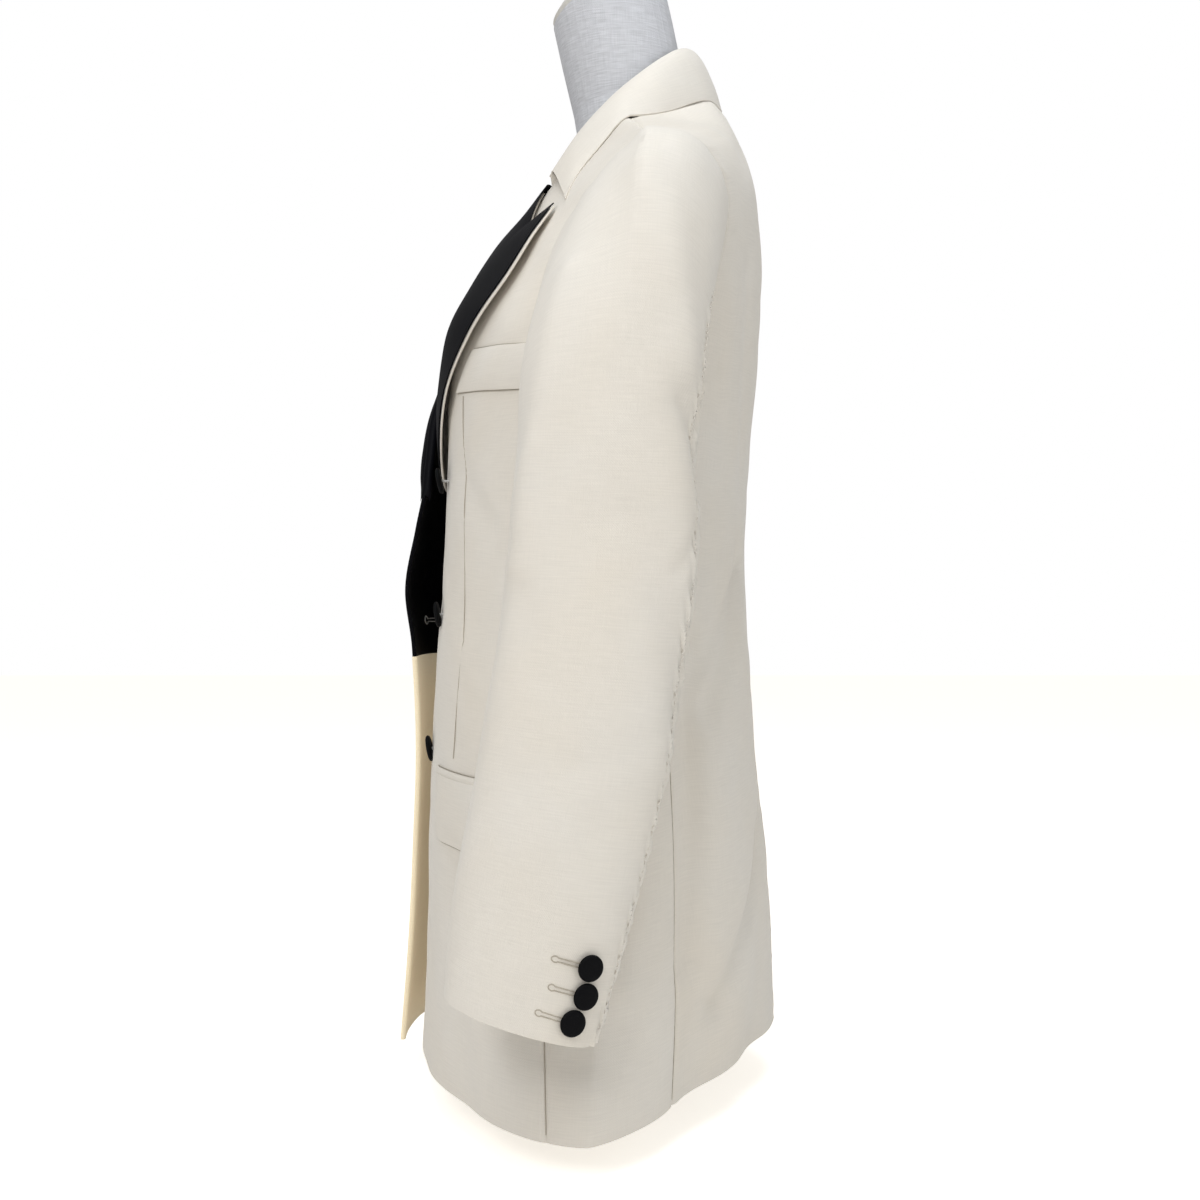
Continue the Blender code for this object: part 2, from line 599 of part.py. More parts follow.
def lapel_place(side, share_limit):
    """Distances out and heights of a lapel's grid, break to gorge by roll to edge."""
    rows, columns = LAPEL_GRID
    table = LEFT_EDGE if side > 0 else RIGHT_EDGE
    start = BREAK_LEFT if side > 0 else BREAK_RIGHT
    outline = LAPEL_LEFT if side > 0 else LAPEL_RIGHT
    roll = [point for point in table[start:] if point.height <= GORGE_HEIGHT]
    along = np.linspace(0.0, 1.0, rows)
    roll_share = np.linspace(0.0, 1.0, len(roll))
    edge_share = np.linspace(0.0, 1.0, len(outline))
    share = np.linspace(0.0, share_limit, columns)[None, :]
    sides = []
    for name in ("across", "height"):
        roll_value = smooth(roll_share, column(roll, name), along)[:, None]
        edge_value = smooth(edge_share, column(outline, name), along)[:, None]
        straight_notch = mix(getattr(roll[-1], name), getattr(outline[-1], name), NOTCH_SHARE)
        dip = getattr(NOTCH, name) - straight_notch
        weight = np.minimum(share / NOTCH_SHARE, (1.0 - share) / (1.0 - NOTCH_SHARE))
        fade = np.clip(1.0 - (1.0 - along) / NOTCH_FADE, 0.0, 1.0)[:, None] ** 1.5
        sides.append(mix(roll_value, edge_value, share) + dip * weight * fade)
    return sides[0], sides[1], share


def lapel_piece(side, low, high, share_limit):
    """One layer of a lapel, folded out over the front's own surface."""
    across, height, share = lapel_place(side, share_limit)
    run = run_at_point(across, height, side)
    theta = angle_at(across, run, True)
    stand = LAPEL_LIFT * np.sin(math.pi * share ** 0.8)
    return body_wall(theta, run, side, high + stand, low + stand)


def facing_piece(first, last, thick):
    """Layer inside the right front's edge between two of the front's rows."""
    theta, run = front_grid(RIGHT)
    rows = slice(first, last + 1)
    outer = -CLOTH - 2.0 * GAP
    return body_wall(theta[rows, :FACING_COLUMNS], run[rows, None], RIGHT, outer, outer - thick)


# ---------------------------------------------------------------- pockets
def flap_angles(columns):
    """Angles along a flap pocket from its front end to its back end."""
    run = run_at_height(FLAP_TOP)
    front = angle_at(FLAP_FRONT_X, run, True)
    return np.linspace(float(front), math.radians(FLAP_BACK_DEGREES), columns)


def flap_pocket(side):
    """Flap with a rounded front corner."""
    columns = 11
    theta = flap_angles(columns)
    share = np.linspace(0.0, 1.0, columns)
    top = FLAP_TOP - JET_DEEP - 2.0 * GAP - FLAP_DROP_BACK * share
    width = 0.135
    reach = np.minimum(share, 1.0 - share) * width
    round_off = FLAP_CORNER - np.sqrt(np.clip(FLAP_CORNER ** 2 - (FLAP_CORNER - reach) ** 2, 0.0, None))
    round_off = np.where(reach < FLAP_CORNER, round_off, 0.0)
    bottom = FLAP_TOP - FLAP_DEEP - FLAP_DROP_BACK * share + round_off
    down = np.linspace(1.0, 0.0, 4)[:, None]
    run = run_at_height(mix(top[None, :], bottom[None, :], down))
    return body_wall(theta[None, :], run, side, POCKET_SEAT + CLOTH, POCKET_SEAT)


def flap_jet(side):
    """Narrow jet over the flap."""
    columns = 11
    theta = flap_angles(columns)
    share = np.linspace(0.0, 1.0, columns)
    top = FLAP_TOP - FLAP_DROP_BACK * share
    run = run_at_height(np.stack((top - JET_DEEP, top)))
    return body_wall(theta[None, :], run, side, POCKET_SEAT + CLOTH, POCKET_SEAT)


def chest_welt():
    """Slanted welt of the left chest pocket."""
    share = np.linspace(0.0, 1.0, 6)[None, :]
    down = np.linspace(0.0, 1.0, 3)[:, None]
    sides = []
    for name in ("across", "height"):
        low = mix(getattr(WELT_BOTTOM[0], name), getattr(WELT_BOTTOM[1], name), share)
        high = mix(getattr(WELT_TOP[0], name), getattr(WELT_TOP[1], name), share)
        sides.append(mix(low, high, down))
    run = run_at_point(sides[0], sides[1], LEFT)
    theta = angle_at(sides[0], run, True)
    return body_wall(theta, run, LEFT, POCKET_SEAT + CLOTH, POCKET_SEAT)


# ---------------------------------------------------------------- sleeves
def armhole_curve():
    """Closed armhole edge in left-hand coordinates as angle and points."""
    front_run = np.linspace(run_at_height(FRONT_UNDERARM), RIDGE_RUN, 40)
    back_run = np.linspace(RIDGE_RUN, run_at_height(BACK_UNDERARM), 40)[1:]
    share = np.linspace(1.0, 0.0, 24)[1:-1]
    under_run = run_at_height(smooth(column(UNDERARM, "share"), column(UNDERARM, "height"), share))
    under = mix(border_angle(FRONT_BORDER, under_run), border_angle(BACK_BORDER, under_run), share)
    theta = np.concatenate(
        (border_angle(FRONT_BORDER, front_run), border_angle(BACK_BORDER, back_run), under))
    run = np.concatenate((front_run, back_run, under_run))
    points = bare_body(theta, run, LEFT)
    turn = np.arctan2(
        (points[:, 1] - ARMHOLE_CENTRE_Y) / ARMHOLE_HALF_DEEP,
        (points[:, 2] - ARMHOLE_CENTRE_Z) / ARMHOLE_HALF_HIGH)
    order = np.argsort(turn)
    return turn[order], points[order]


ARMHOLE_TURN, ARMHOLE_POINTS = armhole_curve()
SHOULDER_TURN = math.degrees(ARMHOLE_TURN[np.argmax(ARMHOLE_POINTS[:, 2])])


def armhole_point(psi):
    """Point of the armhole edge at an angle round the arm."""
    psi = (psi + math.pi) % (2.0 * math.pi) - math.pi
    parts = [
        np.interp(psi, ARMHOLE_TURN, ARMHOLE_POINTS[:, axis], period=2.0 * math.pi)
        for axis in range(3)
    ]
    parts[0] = parts[0] + SLEEVE_START
    return np.stack(parts, axis=-1)


def arm_point(psi, height):
    """Point of the arm's oval ring that is centred at a height."""
    stations = column(ARM, "height")[::-1]
    values = {
        name: smooth(stations, column(ARM, name)[::-1], height) for name in Arm._fields[1:]
    }
    tilt = np.radians(values["tilt"])
    deep = values["half_deep"] * np.sin(psi)
    x = values["across"] + values["half_thick"] * np.cos(psi)
    y = values["along"] + deep * np.cos(tilt)
    z = height - deep * np.sin(tilt)
    return np.stack(np.broadcast_arrays(x, y, z), axis=-1)


def bare_sleeve(psi, share):
    """Sleeve surface without folds: a cap from the armhole, then the arm."""
    psi, share = np.broadcast_arrays(psi, share)
    t = np.clip(share / CAP_SHARE, 0.0, 1.0)[..., None]
    top = (0.5 * (1.0 + np.cos(psi)))[..., None]
    start = armhole_point(psi)
    end = arm_point(psi, ARM[0].height)
    out = mix(CAP_OUT_UNDER, CAP_OUT_TOP, top)
    drop = mix(CAP_DROP_UNDER, CAP_DROP_TOP, top)
    first = start + out * np.array((1.0, 0.0, 0.0))
    second = end + drop * np.array((-0.03, 0.02, 1.0))
    cap = (1 - t) ** 3 * start + 3 * t * (1 - t) ** 2 * first
    cap = cap + 3 * t * t * (1 - t) * second + t ** 3 * end
    down = np.clip((share - CAP_SHARE) / (1.0 - CAP_SHARE), 0.0, 1.0)
    arm = arm_point(psi, mix(ARM[0].height, ARM[-1].height, down))
    return np.where(share[..., None] < CAP_SHARE, cap, arm)


def sleeve_normal(psi, share):
    """Outward unit normal of the sleeve from differences inside its length."""
    turn = 1e-3
    step = 1e-3
    low = np.clip(share - step, 0.0, 1.0)
    high = np.clip(share + step, 0.0, 1.0)
    round_way = bare_sleeve(psi + turn, share) - bare_sleeve(psi - turn, share)
    down_way = bare_sleeve(psi, high) - bare_sleeve(psi, low)
    normal = np.cross(down_way, round_way)
    return normal / np.linalg.norm(normal, axis=-1, keepdims=True)


def sleeve(psi, share, side, lift):
    """Point of a sleeve, lifted off its outer face, in world coordinates."""
    psi, share, lift = np.broadcast_arrays(psi, share, lift)
    depth = lift + np.zeros(psi.shape)
    arm = 0.05
    length = 0.62
    for fold in SLEEVE_FOLDS:
        start = np.array((math.radians(fold.degrees_a) * arm, fold.share_a * length))
        end = np.array((math.radians(fold.degrees_b) * arm, fold.share_b * length))
        wrapped = (psi + math.pi) % (2.0 * math.pi) - math.pi
        depth = depth + line_trough(
            wrapped * arm, share * length, start, end, fold.depth, fold.spread)
    point = bare_sleeve(psi, share) + sleeve_normal(psi, share) * depth[..., None]
    return point * np.array((side, 1.0, 1.0))


def sleeve_piece(side, degrees):
    """One sleeve piece with a column at each angle round the arm."""
    psi = np.radians(degrees)[None, :]
    share = np.linspace(0.0, 1.0, SLEEVE_ROWS)[:, None]
    return wall(sleeve(psi, share, side, 0.0), sleeve(psi, share, side, -CLOTH))


def upper_columns():
    """Angles of the upper sleeve's columns, one of them on the shoulder seam."""
    front = np.linspace(FRONT_SEAM, SHOULDER_TURN, UPPER_FRONT_COLUMNS)
    back = np.linspace(SHOULDER_TURN, BACK_SEAM, UPPER_BACK_COLUMNS)
    return np.concatenate((front, back[1:]))


# ---------------------------------------------------------------- collar
def collar_share(columns):
    """Signed places round the collar, right gorge to left gorge."""
    return np.linspace(-1.0, 1.0, columns)


def collar_curve(names, share):
    """Curve through collar columns, mirrored about the centre back."""
    stations = np.linspace(0.0, 1.0, len(COLLAR))
    mirrored = np.concatenate((-stations[:0:-1], stations))
    parts = []
    for name in names:
        values = column(COLLAR, name)
        flip = -1.0 if name.endswith("x") else 1.0
        parts.append(smooth(mirrored, np.concatenate((flip * values[:0:-1], values)), share))
    return np.stack(parts, axis=-1)


def leaf_edge(share):
    """Edge of the collar leaf, lying on the coat."""
    place = collar_curve(("edge_x", "edge_y"), share)
    across = np.abs(place[:, 0])
    along = place[:, 1]
    ridge = smooth(column(SHOULDER, "across"), column(SHOULDER, "along"), across)
    points = np.zeros((len(share), 3))
    for front in (True, False):
        chosen = (along < ridge) == front
        run = run_at_depth(across[chosen], along[chosen], front)
        theta = angle_at(across[chosen], run, front)
        points[chosen] = body(theta, run, LEFT, LEAF_LIFT)
    points[:, 0] *= np.sign(place[:, 0] + 1e-12)
    return points


def collar_leaf():
    """Leaf from the fold down to its edge, rounding over at the fold."""
    columns, rows = LEAF_GRID
    share = collar_share(columns)
    fold = collar_curve(("roll_x", "roll_y", "roll_z"), share)
    fold = fold + np.array((0.0, 0.0, LEAF_SEAT))
    edge = leaf_edge(share)
    outward = edge - fold
    outward[:, 2] = 0.0
    outward /= np.linalg.norm(outward, axis=1, keepdims=True)
    control = fold + outward * LEAF_ROUND + np.array((0.0, 0.0, 0.001))
    t = np.linspace(0.0, 1.0, rows)[:, None, None]
    outer = (1 - t) ** 2 * fold + 2 * t * (1 - t) * control + t * t * edge
    return wall(outer, outer - grid_normal(outer) * CLOTH)


def grid_normal(grid):
    """Unit normal of a grid from its own differences, pointing up or outward."""
    down = np.gradient(grid, axis=0)
    round_way = np.gradient(grid, axis=1)
    normal = np.cross(down, round_way)
    normal /= np.linalg.norm(normal, axis=-1, keepdims=True)
    middle = grid.mean(axis=(0, 1))
    outward = ((grid - middle) * normal).sum() + normal[..., 2].sum()
    return normal if outward > 0.0 else -normal


def neck_seam(share):
    """Neckline of the panels, from the centre back to the gorge, at shares of its length."""
    neck_point = float(angle_at(SHOULDER[2].across, RIDGE_RUN, False))
    back_angle = np.linspace(BACK_CENTRE, neck_point, 30)
    back = bare_body(back_angle, back_neck_run(back_angle), LEFT)
    neck = [point for point in LEFT_EDGE if point.height >= GORGE_HEIGHT][::-1]
    height = np.linspace(neck[0].height, neck[-1].height, 20)
    across = np.interp(height, column(neck, "height")[::-1], column(neck, "across")[::-1])
    run = run_at_point(across, height, LEFT)
    front = bare_body(angle_at(across, run, True), run, LEFT)
    points = np.concatenate((back, front))
    length = np.concatenate(([0.0], np.cumsum(np.linalg.norm(np.diff(points, axis=0), axis=1))))
    place = np.abs(share) * length[-1]
    parts = [np.interp(place, length, points[:, axis]) for axis in range(3)]
    parts[0] = parts[0] * np.sign(share)
    return np.stack(parts, axis=-1)


def collar_stand():
    """Stand from the neck seam up to the fold."""
    columns, rows = STAND_GRID
    share = collar_share(columns)
    fold = collar_curve(("roll_x", "roll_y", "roll_z"), share)
    seam = neck_seam(share)
    inward = np.array((0.0, fold[:, 1].mean(), 0.0)) - seam
    inward[:, 2] = 0.0
    inward /= np.linalg.norm(inward, axis=1, keepdims=True)
    seam = seam + inward * STAND_INSET + np.array((0.0, 0.0, STAND_RAISE))
    t = np.linspace(0.0, 1.0, rows)[:, None, None]
    outer = mix(fold, seam, t)
    return wall(outer, outer - grid_normal(outer) * CLOTH)


# ---------------------------------------------------------------- buttons
def turned_button(centre, normal, radius, thick):
    """Round button with a shallow dished face, its back at the centre point."""
    profile = ((0.80, 0.0), (1.0, 0.30), (1.0, 0.62), (0.86, 1.0), (0.60, 0.86), (0.18, 0.80))
    normal = np.asarray(normal) / np.linalg.norm(normal)
    side_way = np.cross(normal, (0.0, 0.0, 1.0))
    side_way /= np.linalg.norm(side_way)
    up_way = np.cross(side_way, normal)
    turn = np.linspace(0.0, 2.0 * math.pi, BUTTON_SIDES, endpoint=False)[:, None]
    spokes = np.cos(turn) * side_way + np.sin(turn) * up_way
    rings = [
        np.asarray(centre) + spokes * radius * reach + normal * thick * level
        for reach, level in profile
    ]
    return tube(rings)


def front_button(side, height, across):
    """Front button on the coat's outer face; the left ones hang a little on their shanks."""
    place = np.array([across])
    run = run_at_point(place, np.array([height]), side)
    theta = angle_at(place, run, True)
    hangs = 1.0 if side > 0 else 0.0
    centre = body(theta, run, side, BUTTON_SEAT + BUTTON_HANG * hangs)[0]
    normal = body(theta, run, side, 1.0)[0] - body(theta, run, side, 0.0)[0]
    normal = normal - np.array((0.0, 0.0, BUTTON_DROOP)) * hangs
    return turned_button(centre, normal, FRONT_BUTTON_RADIUS, FRONT_BUTTON_THICK)


def cuff_button(side, share):
    """Cuff button on the sleeve's outer face."""
    psi = np.array([math.radians(CUFF_BUTTON_DEGREES)])
    place = np.array([share])
    centre = sleeve(psi, place, side, BUTTON_SEAT)[0]
    normal = sleeve(psi, place, side, 1.0)[0] - sleeve(psi, place, side, 0.0)[0]
    return turned_button(centre, normal, CUFF_BUTTON_RADIUS, CUFF_BUTTON_THICK)


# ---------------------------------------------------------------- dress form
def oval(half_width, centre, front, back, height, power):
    """Level ring of the form, widest at its centre line."""
    turn = np.linspace(0.0, 2.0 * math.pi, RING_SIDES, endpoint=False)
    reach = np.where(np.sin(turn) < 0.0, centre - front, back - centre)
    x = half_width * signed_power(np.cos(turn), 2.0 / power)
    y = centre + reach * signed_power(np.sin(turn), 2.0 / power)
    return np.stack((x, y, np.full_like(x, height)), axis=-1)


def neck_ring(row):
    """Tilted ring of the neck."""
    turn = np.linspace(0.0, 2.0 * math.pi, RING_SIDES, endpoint=False)
    share = 0.5 * (1.0 + np.sin(turn))
    x = row.half_width * np.cos(turn)
    return np.stack((x, mix(row.front_y, row.back_y, share), mix(row.front_z, row.back_z, share)), axis=-1)


def form_torso():
    """Torso whose shoulders carry the coat along the shoulder line, with its neck."""
    rings = [oval(t.half_width, t.centre, t.front, t.back, t.height, t.power) for t in TORSO]
    count = len(RIDGE_RINGS)
    for step, across in enumerate(RIDGE_RINGS):
        share = step / (count - 1)
        height = float(smooth(column(SHOULDER, "across"), column(SHOULDER, "height"), across))
        centre = float(smooth(column(SHOULDER, "across"), column(SHOULDER, "along"), across))
        front = mix(RIDGE_FRONT_LOW, RIDGE_FRONT_HIGH, share)
        back = mix(RIDGE_BACK_LOW, RIDGE_BACK_HIGH, share)
        rings.append(oval(across, centre, front, back, height - FORM_SEAT, RIDGE_POWER))
    rings.extend(neck_ring(row) for row in NECK)
    return tube(rings)


def neck_cap():
    """Plain cap on the tilted top of the neck."""
    top = NECK[-1]
    lean = math.atan2(top.back_z - top.front_z, top.back_y - top.front_y)
    up = np.array((0.0, -math.sin(lean), math.cos(lean)))
    ring = neck_ring(top)
    middle = ring.mean(axis=0)
    levels = ((0.0, 1.0), (0.45, 1.0), (0.85, 0.90), (1.0, 0.72))
    size = 1.0 - NECK_CAP_INSET / top.half_width
    rings = [
        middle + (ring - middle) * size * reach + up * (GAP + NECK_CAP_THICK * level)
        for level, reach in levels
    ]
    return tube(rings)


def round_solid(levels):
    """Upright turned solid about the base centre, from radius and height pairs."""
    turn = np.linspace(0.0, 2.0 * math.pi, RING_SIDES, endpoint=False)
    rings = [
        np.stack((r * np.cos(turn), BASE_Y + r * np.sin(turn), np.full_like(turn, z)), axis=-1)
        for r, z in levels
    ]
    return tube(rings)


def stem():
    """Plain stem from the base to the underside of the torso."""
    low = BASE_THICK + GAP
    high = TORSO[0].height - GAP
    return round_solid(((STEM_RADIUS, low), (STEM_RADIUS, high)))


def base_disc():
    """Flat round base that stands on the floor."""
    rim = BASE_THICK - BASE_BEVEL
    return round_solid(((BASE_RADIUS, 0.0), (BASE_RADIUS, rim), (BASE_RADIUS - BASE_BEVEL, BASE_THICK)))


# ---------------------------------------------------------------- assembly
def clear_scene():
    """Remove what the scene holds."""
    for piece in list(bpy.data.objects):
        bpy.data.objects.remove(piece, do_unlink=True)


def body_pieces(cloth):
    """Fronts, side bodies and backs."""
    pieces = []
    for side in (LEFT, RIGHT):
        label = side_name(side)
        pieces.append(finish("front_" + label, front_panel(side), cloth))
        pieces.append(finish("side_" + label, side_panel(side), cloth))
        pieces.append(finish("back_" + label, back_panel(side), cloth))
    return pieces


def lapel_pieces(cloth, satin):
    """Under layer and satin facing of both lapels, and the right front's inside."""
    pieces = []
    low = 2.0 * GAP
    high = low + CLOTH
    for side in (LEFT, RIGHT):
        label = side_name(side)
        under = lapel_piece(side, low, high, 1.0)
        top = lapel_piece(side, high + 2.0 * GAP, high + 2.0 * GAP + SATIN, SATIN_SHARE)
        pieces.append(finish("lapel_under_" + label, under, cloth))
        pieces.append(finish("lapel_satin_" + label, top, satin))
    upper = facing_piece(FACING_SPLIT_ROW, FACING_TOP_ROW, SATIN)
    lower = facing_piece(0, FACING_SPLIT_ROW, CLOTH)
    pieces.append(finish("facing_satin_right", upper, satin))
    pieces.append(finish("facing_cloth_right", lower, cloth))
    return pieces


def collar_pieces(cloth):
    """Stand and leaf of the collar."""
    return [
        finish("collar_stand", collar_stand(), cloth),
        finish("collar_leaf", collar_leaf(), cloth),
    ]


def sleeve_pieces(cloth):
    """Upper and under sleeves."""
    pieces = []
    for side in (LEFT, RIGHT):
        label = side_name(side)
        upper = sleeve_piece(side, upper_columns())
        under = sleeve_piece(side, np.linspace(BACK_SEAM, FRONT_SEAM + 360.0, UNDER_COLUMNS))
        pieces.append(finish("sleeve_upper_" + label, upper, cloth))
        pieces.append(finish("sleeve_under_" + label, under, cloth))
    return pieces


def pocket_pieces(cloth):
    """Flap pockets on both fronts and the left chest welt."""
    pieces = [finish("chest_welt", chest_welt(), cloth)]
    for side in (LEFT, RIGHT):
        label = side_name(side)
        pieces.append(finish("pocket_jet_" + label, flap_jet(side), cloth))
        pieces.append(finish("pocket_flap_" + label, flap_pocket(side), cloth))
    return pieces


def button_pieces(button):
    """Three rows of two front buttons, and three buttons on each cuff."""
    pieces = []
    for side in (LEFT, RIGHT):
        label = side_name(side)
        across = FRONT_BUTTON_LEFT_X if side > 0 else FRONT_BUTTON_RIGHT_X
        for row, height in enumerate(FRONT_BUTTON_ROWS, start=1):
            name = f"button_front_{label}_{row}"
            pieces.append(finish(name, front_button(side, height, across), button))
        for row, share in enumerate(CUFF_BUTTON_SHARES, start=1):
            name = f"button_cuff_{label}_{row}"
            pieces.append(finish(name, cuff_button(side, share), button))
    return pieces


def form_pieces():
    """Dress form, its cap, stem and base."""
    steel = material("steel")
    return [
        finish("form_torso", form_torso(), material("linen")),
        finish("form_cap", neck_cap(), material("cap")),
        finish("form_stem", stem(), steel),
        finish("form_base", base_disc(), steel),
    ]


def centre_on_base(pieces):
    """Put the origin at the bottom centre of the whole part's box."""
    corners = np.concatenate([
        np.array([tuple(vertex.co) for vertex in piece.data.vertices]) for piece in pieces
    ])
    low = corners.min(axis=0)
    high = corners.max(axis=0)
    shift = (-0.5 * (low[0] + high[0]), -0.5 * (low[1] + high[1]), -low[2])
    for piece in pieces:
        for vertex in piece.data.vertices:
            vertex.co.x += shift[0]
            vertex.co.y += shift[1]
            vertex.co.z += shift[2]


def build():
    """Build every piece of the coat and its form."""
    clear_scene()
    cloth = material("cloth")
    satin = material("satin")
    button = material("button")
    pieces = body_pieces(cloth)
    pieces += lapel_pieces(cloth, satin)
    pieces += collar_pieces(cloth)
    pieces += sleeve_pieces(cloth)
    pieces += pocket_pieces(cloth)
    pieces += button_pieces(button)
    pieces += form_pieces()
    centre_on_base(pieces)


build()
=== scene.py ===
"""Double breasted blazer, worn open on a limbless dress form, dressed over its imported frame.

Metres, +Z up. The front faces -Y and the wearer's left is +X. Every cloth piece is a thin
shell on one shared body, sleeve or collar surface, so pieces meet at their seams.
"""
import logging
import math
from dataclasses import dataclass, field
from enum import Enum
from typing import Callable, NamedTuple

import bmesh
import bpy
import numpy as np
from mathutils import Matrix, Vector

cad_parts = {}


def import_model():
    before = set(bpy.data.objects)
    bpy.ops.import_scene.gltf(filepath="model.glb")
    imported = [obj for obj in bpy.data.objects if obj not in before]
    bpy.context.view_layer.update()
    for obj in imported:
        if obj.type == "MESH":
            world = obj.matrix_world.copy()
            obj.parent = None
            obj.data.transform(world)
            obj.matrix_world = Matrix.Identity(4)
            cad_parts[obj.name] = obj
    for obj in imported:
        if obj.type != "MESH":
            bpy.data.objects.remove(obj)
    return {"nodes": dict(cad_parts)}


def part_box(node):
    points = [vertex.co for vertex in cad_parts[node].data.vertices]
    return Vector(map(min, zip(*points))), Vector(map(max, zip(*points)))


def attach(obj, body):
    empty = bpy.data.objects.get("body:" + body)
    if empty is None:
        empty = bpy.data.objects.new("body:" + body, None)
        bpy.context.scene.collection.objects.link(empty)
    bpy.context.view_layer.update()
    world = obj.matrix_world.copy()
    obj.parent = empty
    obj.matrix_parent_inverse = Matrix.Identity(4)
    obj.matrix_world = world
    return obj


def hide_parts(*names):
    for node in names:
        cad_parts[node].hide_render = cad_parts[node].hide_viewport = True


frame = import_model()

Array = np.ndarray
Grids = tuple[Array, Array]
Triple = tuple[float, float, float]
Material = bpy.types.Material
Piece = bpy.types.Object
Socket = bpy.types.NodeSocket
LOG = logging.getLogger("blazer")

CLOTH = 0.0015            # thickness of one layer of suiting
SATIN = 0.001            # thickness of the satin facing
GAP = 0.0003              # clearance between pieces that touch
CHEST = 0.5             # above this height the body rings bend up to the shoulder line
RIDGE_SOFT = 0.01        # front and back share one upward normal along the shoulder seam
HEM_BLEND = 0.1          # the hem's own curve fades out over this run
HEM_DIP_SIDE = 0.005
HEM_LIFT_BACK = 0.0125
FRONT_UNDERARM = 0.57    # where the front's side seam meets the armhole
BACK_UNDERARM = 0.6
BACK_CENTRE = 0.5 * math.pi
GIRTH_ARM = 0.17          # mean radius of the body, turns an angle into a distance
SLEEVE_ARM = 0.05         # mean radius of the arm
SLEEVE_LENGTH = 0.62
SLEEVE_FLAT = 0.8        # power of the cosine on the sleeve's outer face: below 1 is flatter
HALVINGS = 26             # steps of each search along a panel
BASE_Y = -0.025           # the base's centre before the model is centred


class Side(Enum):
    """Side of the wearer, as the sign of the world's X."""

    LEFT = 1.0
    RIGHT = -1.0

    @property
    def label(self) -> str:
        """Name of the side in piece names."""
        return self.name.lower()


class Weave(Enum):
    """Ways in which a cloth's threads cross."""

    PLAIN = "plain"
    SATIN = "satin"


class Ring(NamedTuple):
    """Level ring of the closed coat."""

    height: float
    half_width: float
    centre: float
    front: float
    back: float
    front_power: float
    back_power: float


class Point(NamedTuple):
    """Point of an edge: distance out from the centre line, and height."""

    across: float
    height: float


class Shoulder(NamedTuple):
    """Station of the shoulder line."""

    across: float
    height: float
    along: float


class Border(NamedTuple):
    """Panel border as an angle round the body, 0 at the side and 90 at the centre back."""

    height: float
    degrees: float


class Swing(NamedTuple):
    """How far each front stands forward of the closed coat."""

    height: float
    left: float
    right: float


class Crease(NamedTuple):
    """Soft trough (or ridge) of the body along a line; sides is 0 for both, or a side's sign."""

    degrees_a: float
    height_a: float
    degrees_b: float
    height_b: float
    depth: float
    spread: float
    sides: int


class ArmCrease(NamedTuple):
    """Soft trough (or ridge) of a sleeve along a line of angle and share of its length."""

    degrees_a: float
    share_a: float
    degrees_b: float
    share_b: float
    depth: float
    spread: float
    sides: int


class Arm(NamedTuple):
    """Oval ring of the sleeve below its cap."""

    height: float
    across: float
    along: float
    half_thick: float
    half_deep: float
    tilt: float


class CollarStation(NamedTuple):
    """Fold line of the collar and the place of the leaf's edge."""

    roll_x: float
    roll_y: float
    roll_z: float
    edge_x: float
    edge_y: float


BODY = (
    Ring(0.03, 0.232, -0.008, -0.14, 0.139, 1.8, 1.34),
    Ring(0.105, 0.2165, -0.004, -0.136, 0.1368, 1.92, 1.56),
    Ring(0.185, 0.203, 0.0, -0.1325, 0.131, 2.06, 1.79),
    Ring(0.269, 0.187, 0.004, -0.1285, 0.1215, 2.2, 2.0),
    Ring(0.325, 0.174, 0.007, -0.1265, 0.118, 2.2, 2.05),
    Ring(0.375, 0.166, 0.01, -0.122, 0.1148, 2.2, 2.1),
    Ring(0.425, 0.163, 0.013, -0.12, 0.1144, 2.2, 2.1),
    Ring(0.475, 0.166, 0.016, -0.119, 0.1165, 2.2, 2.15),
    Ring(0.535, 0.1735, 0.02, -0.117, 0.1215, 2.25, 2.2),
    Ring(0.575, 0.1775, 0.024, -0.108, 0.124, 2.3, 2.25),
    Ring(0.615, 0.181, 0.027, -0.086, 0.1258, 2.3, 2.3),
    Ring(0.647, 0.1835, 0.028, -0.067, 0.1256, 2.3, 2.3),
    Ring(0.675, 0.186, 0.03, -0.05, 0.1235, 2.3, 2.3),
    Ring(0.707, 0.1885, 0.03, -0.034, 0.12, 2.3, 2.3),
    Ring(0.739, 0.191, 0.029, -0.014, 0.11, 2.3, 2.3),
    Ring(0.766, 0.193, 0.027, 0.002, 0.097, 2.3, 2.3),
    Ring(0.78, 0.194, 0.025, 0.01, 0.083, 2.3, 2.3),
    Ring(0.788, 0.1948, 0.022, 0.017, 0.05, 2.3, 2.3),
    Ring(0.79, 0.195, 0.0209, 0.0208, 0.021, 2.3, 2.3),
)
BUST_RING = 8
SHOULDER = (
    Shoulder(0.0, 0.79, 0.02),
    Shoulder(0.04, 0.769, 0.0205),
    Shoulder(0.075, 0.7415, 0.0215),
    Shoulder(0.13, 0.7155, 0.026),
    Shoulder(0.188, 0.69, 0.031),
    Shoulder(0.24, 0.668, 0.034),
)
NECK_POINT = SHOULDER[2].across
FRONT_BORDER = (
    Border(0.03, -14.0), Border(0.269, -19.6), Border(0.375, -24.0), Border(0.475, -23.6),
    Border(0.57, -18.5), Border(0.6, -26.0), Border(0.64, -33.0), Border(0.69, -34.0),
    Border(0.74, -29.0), Border(0.775, -22.0), Border(0.79, -16.5),
)
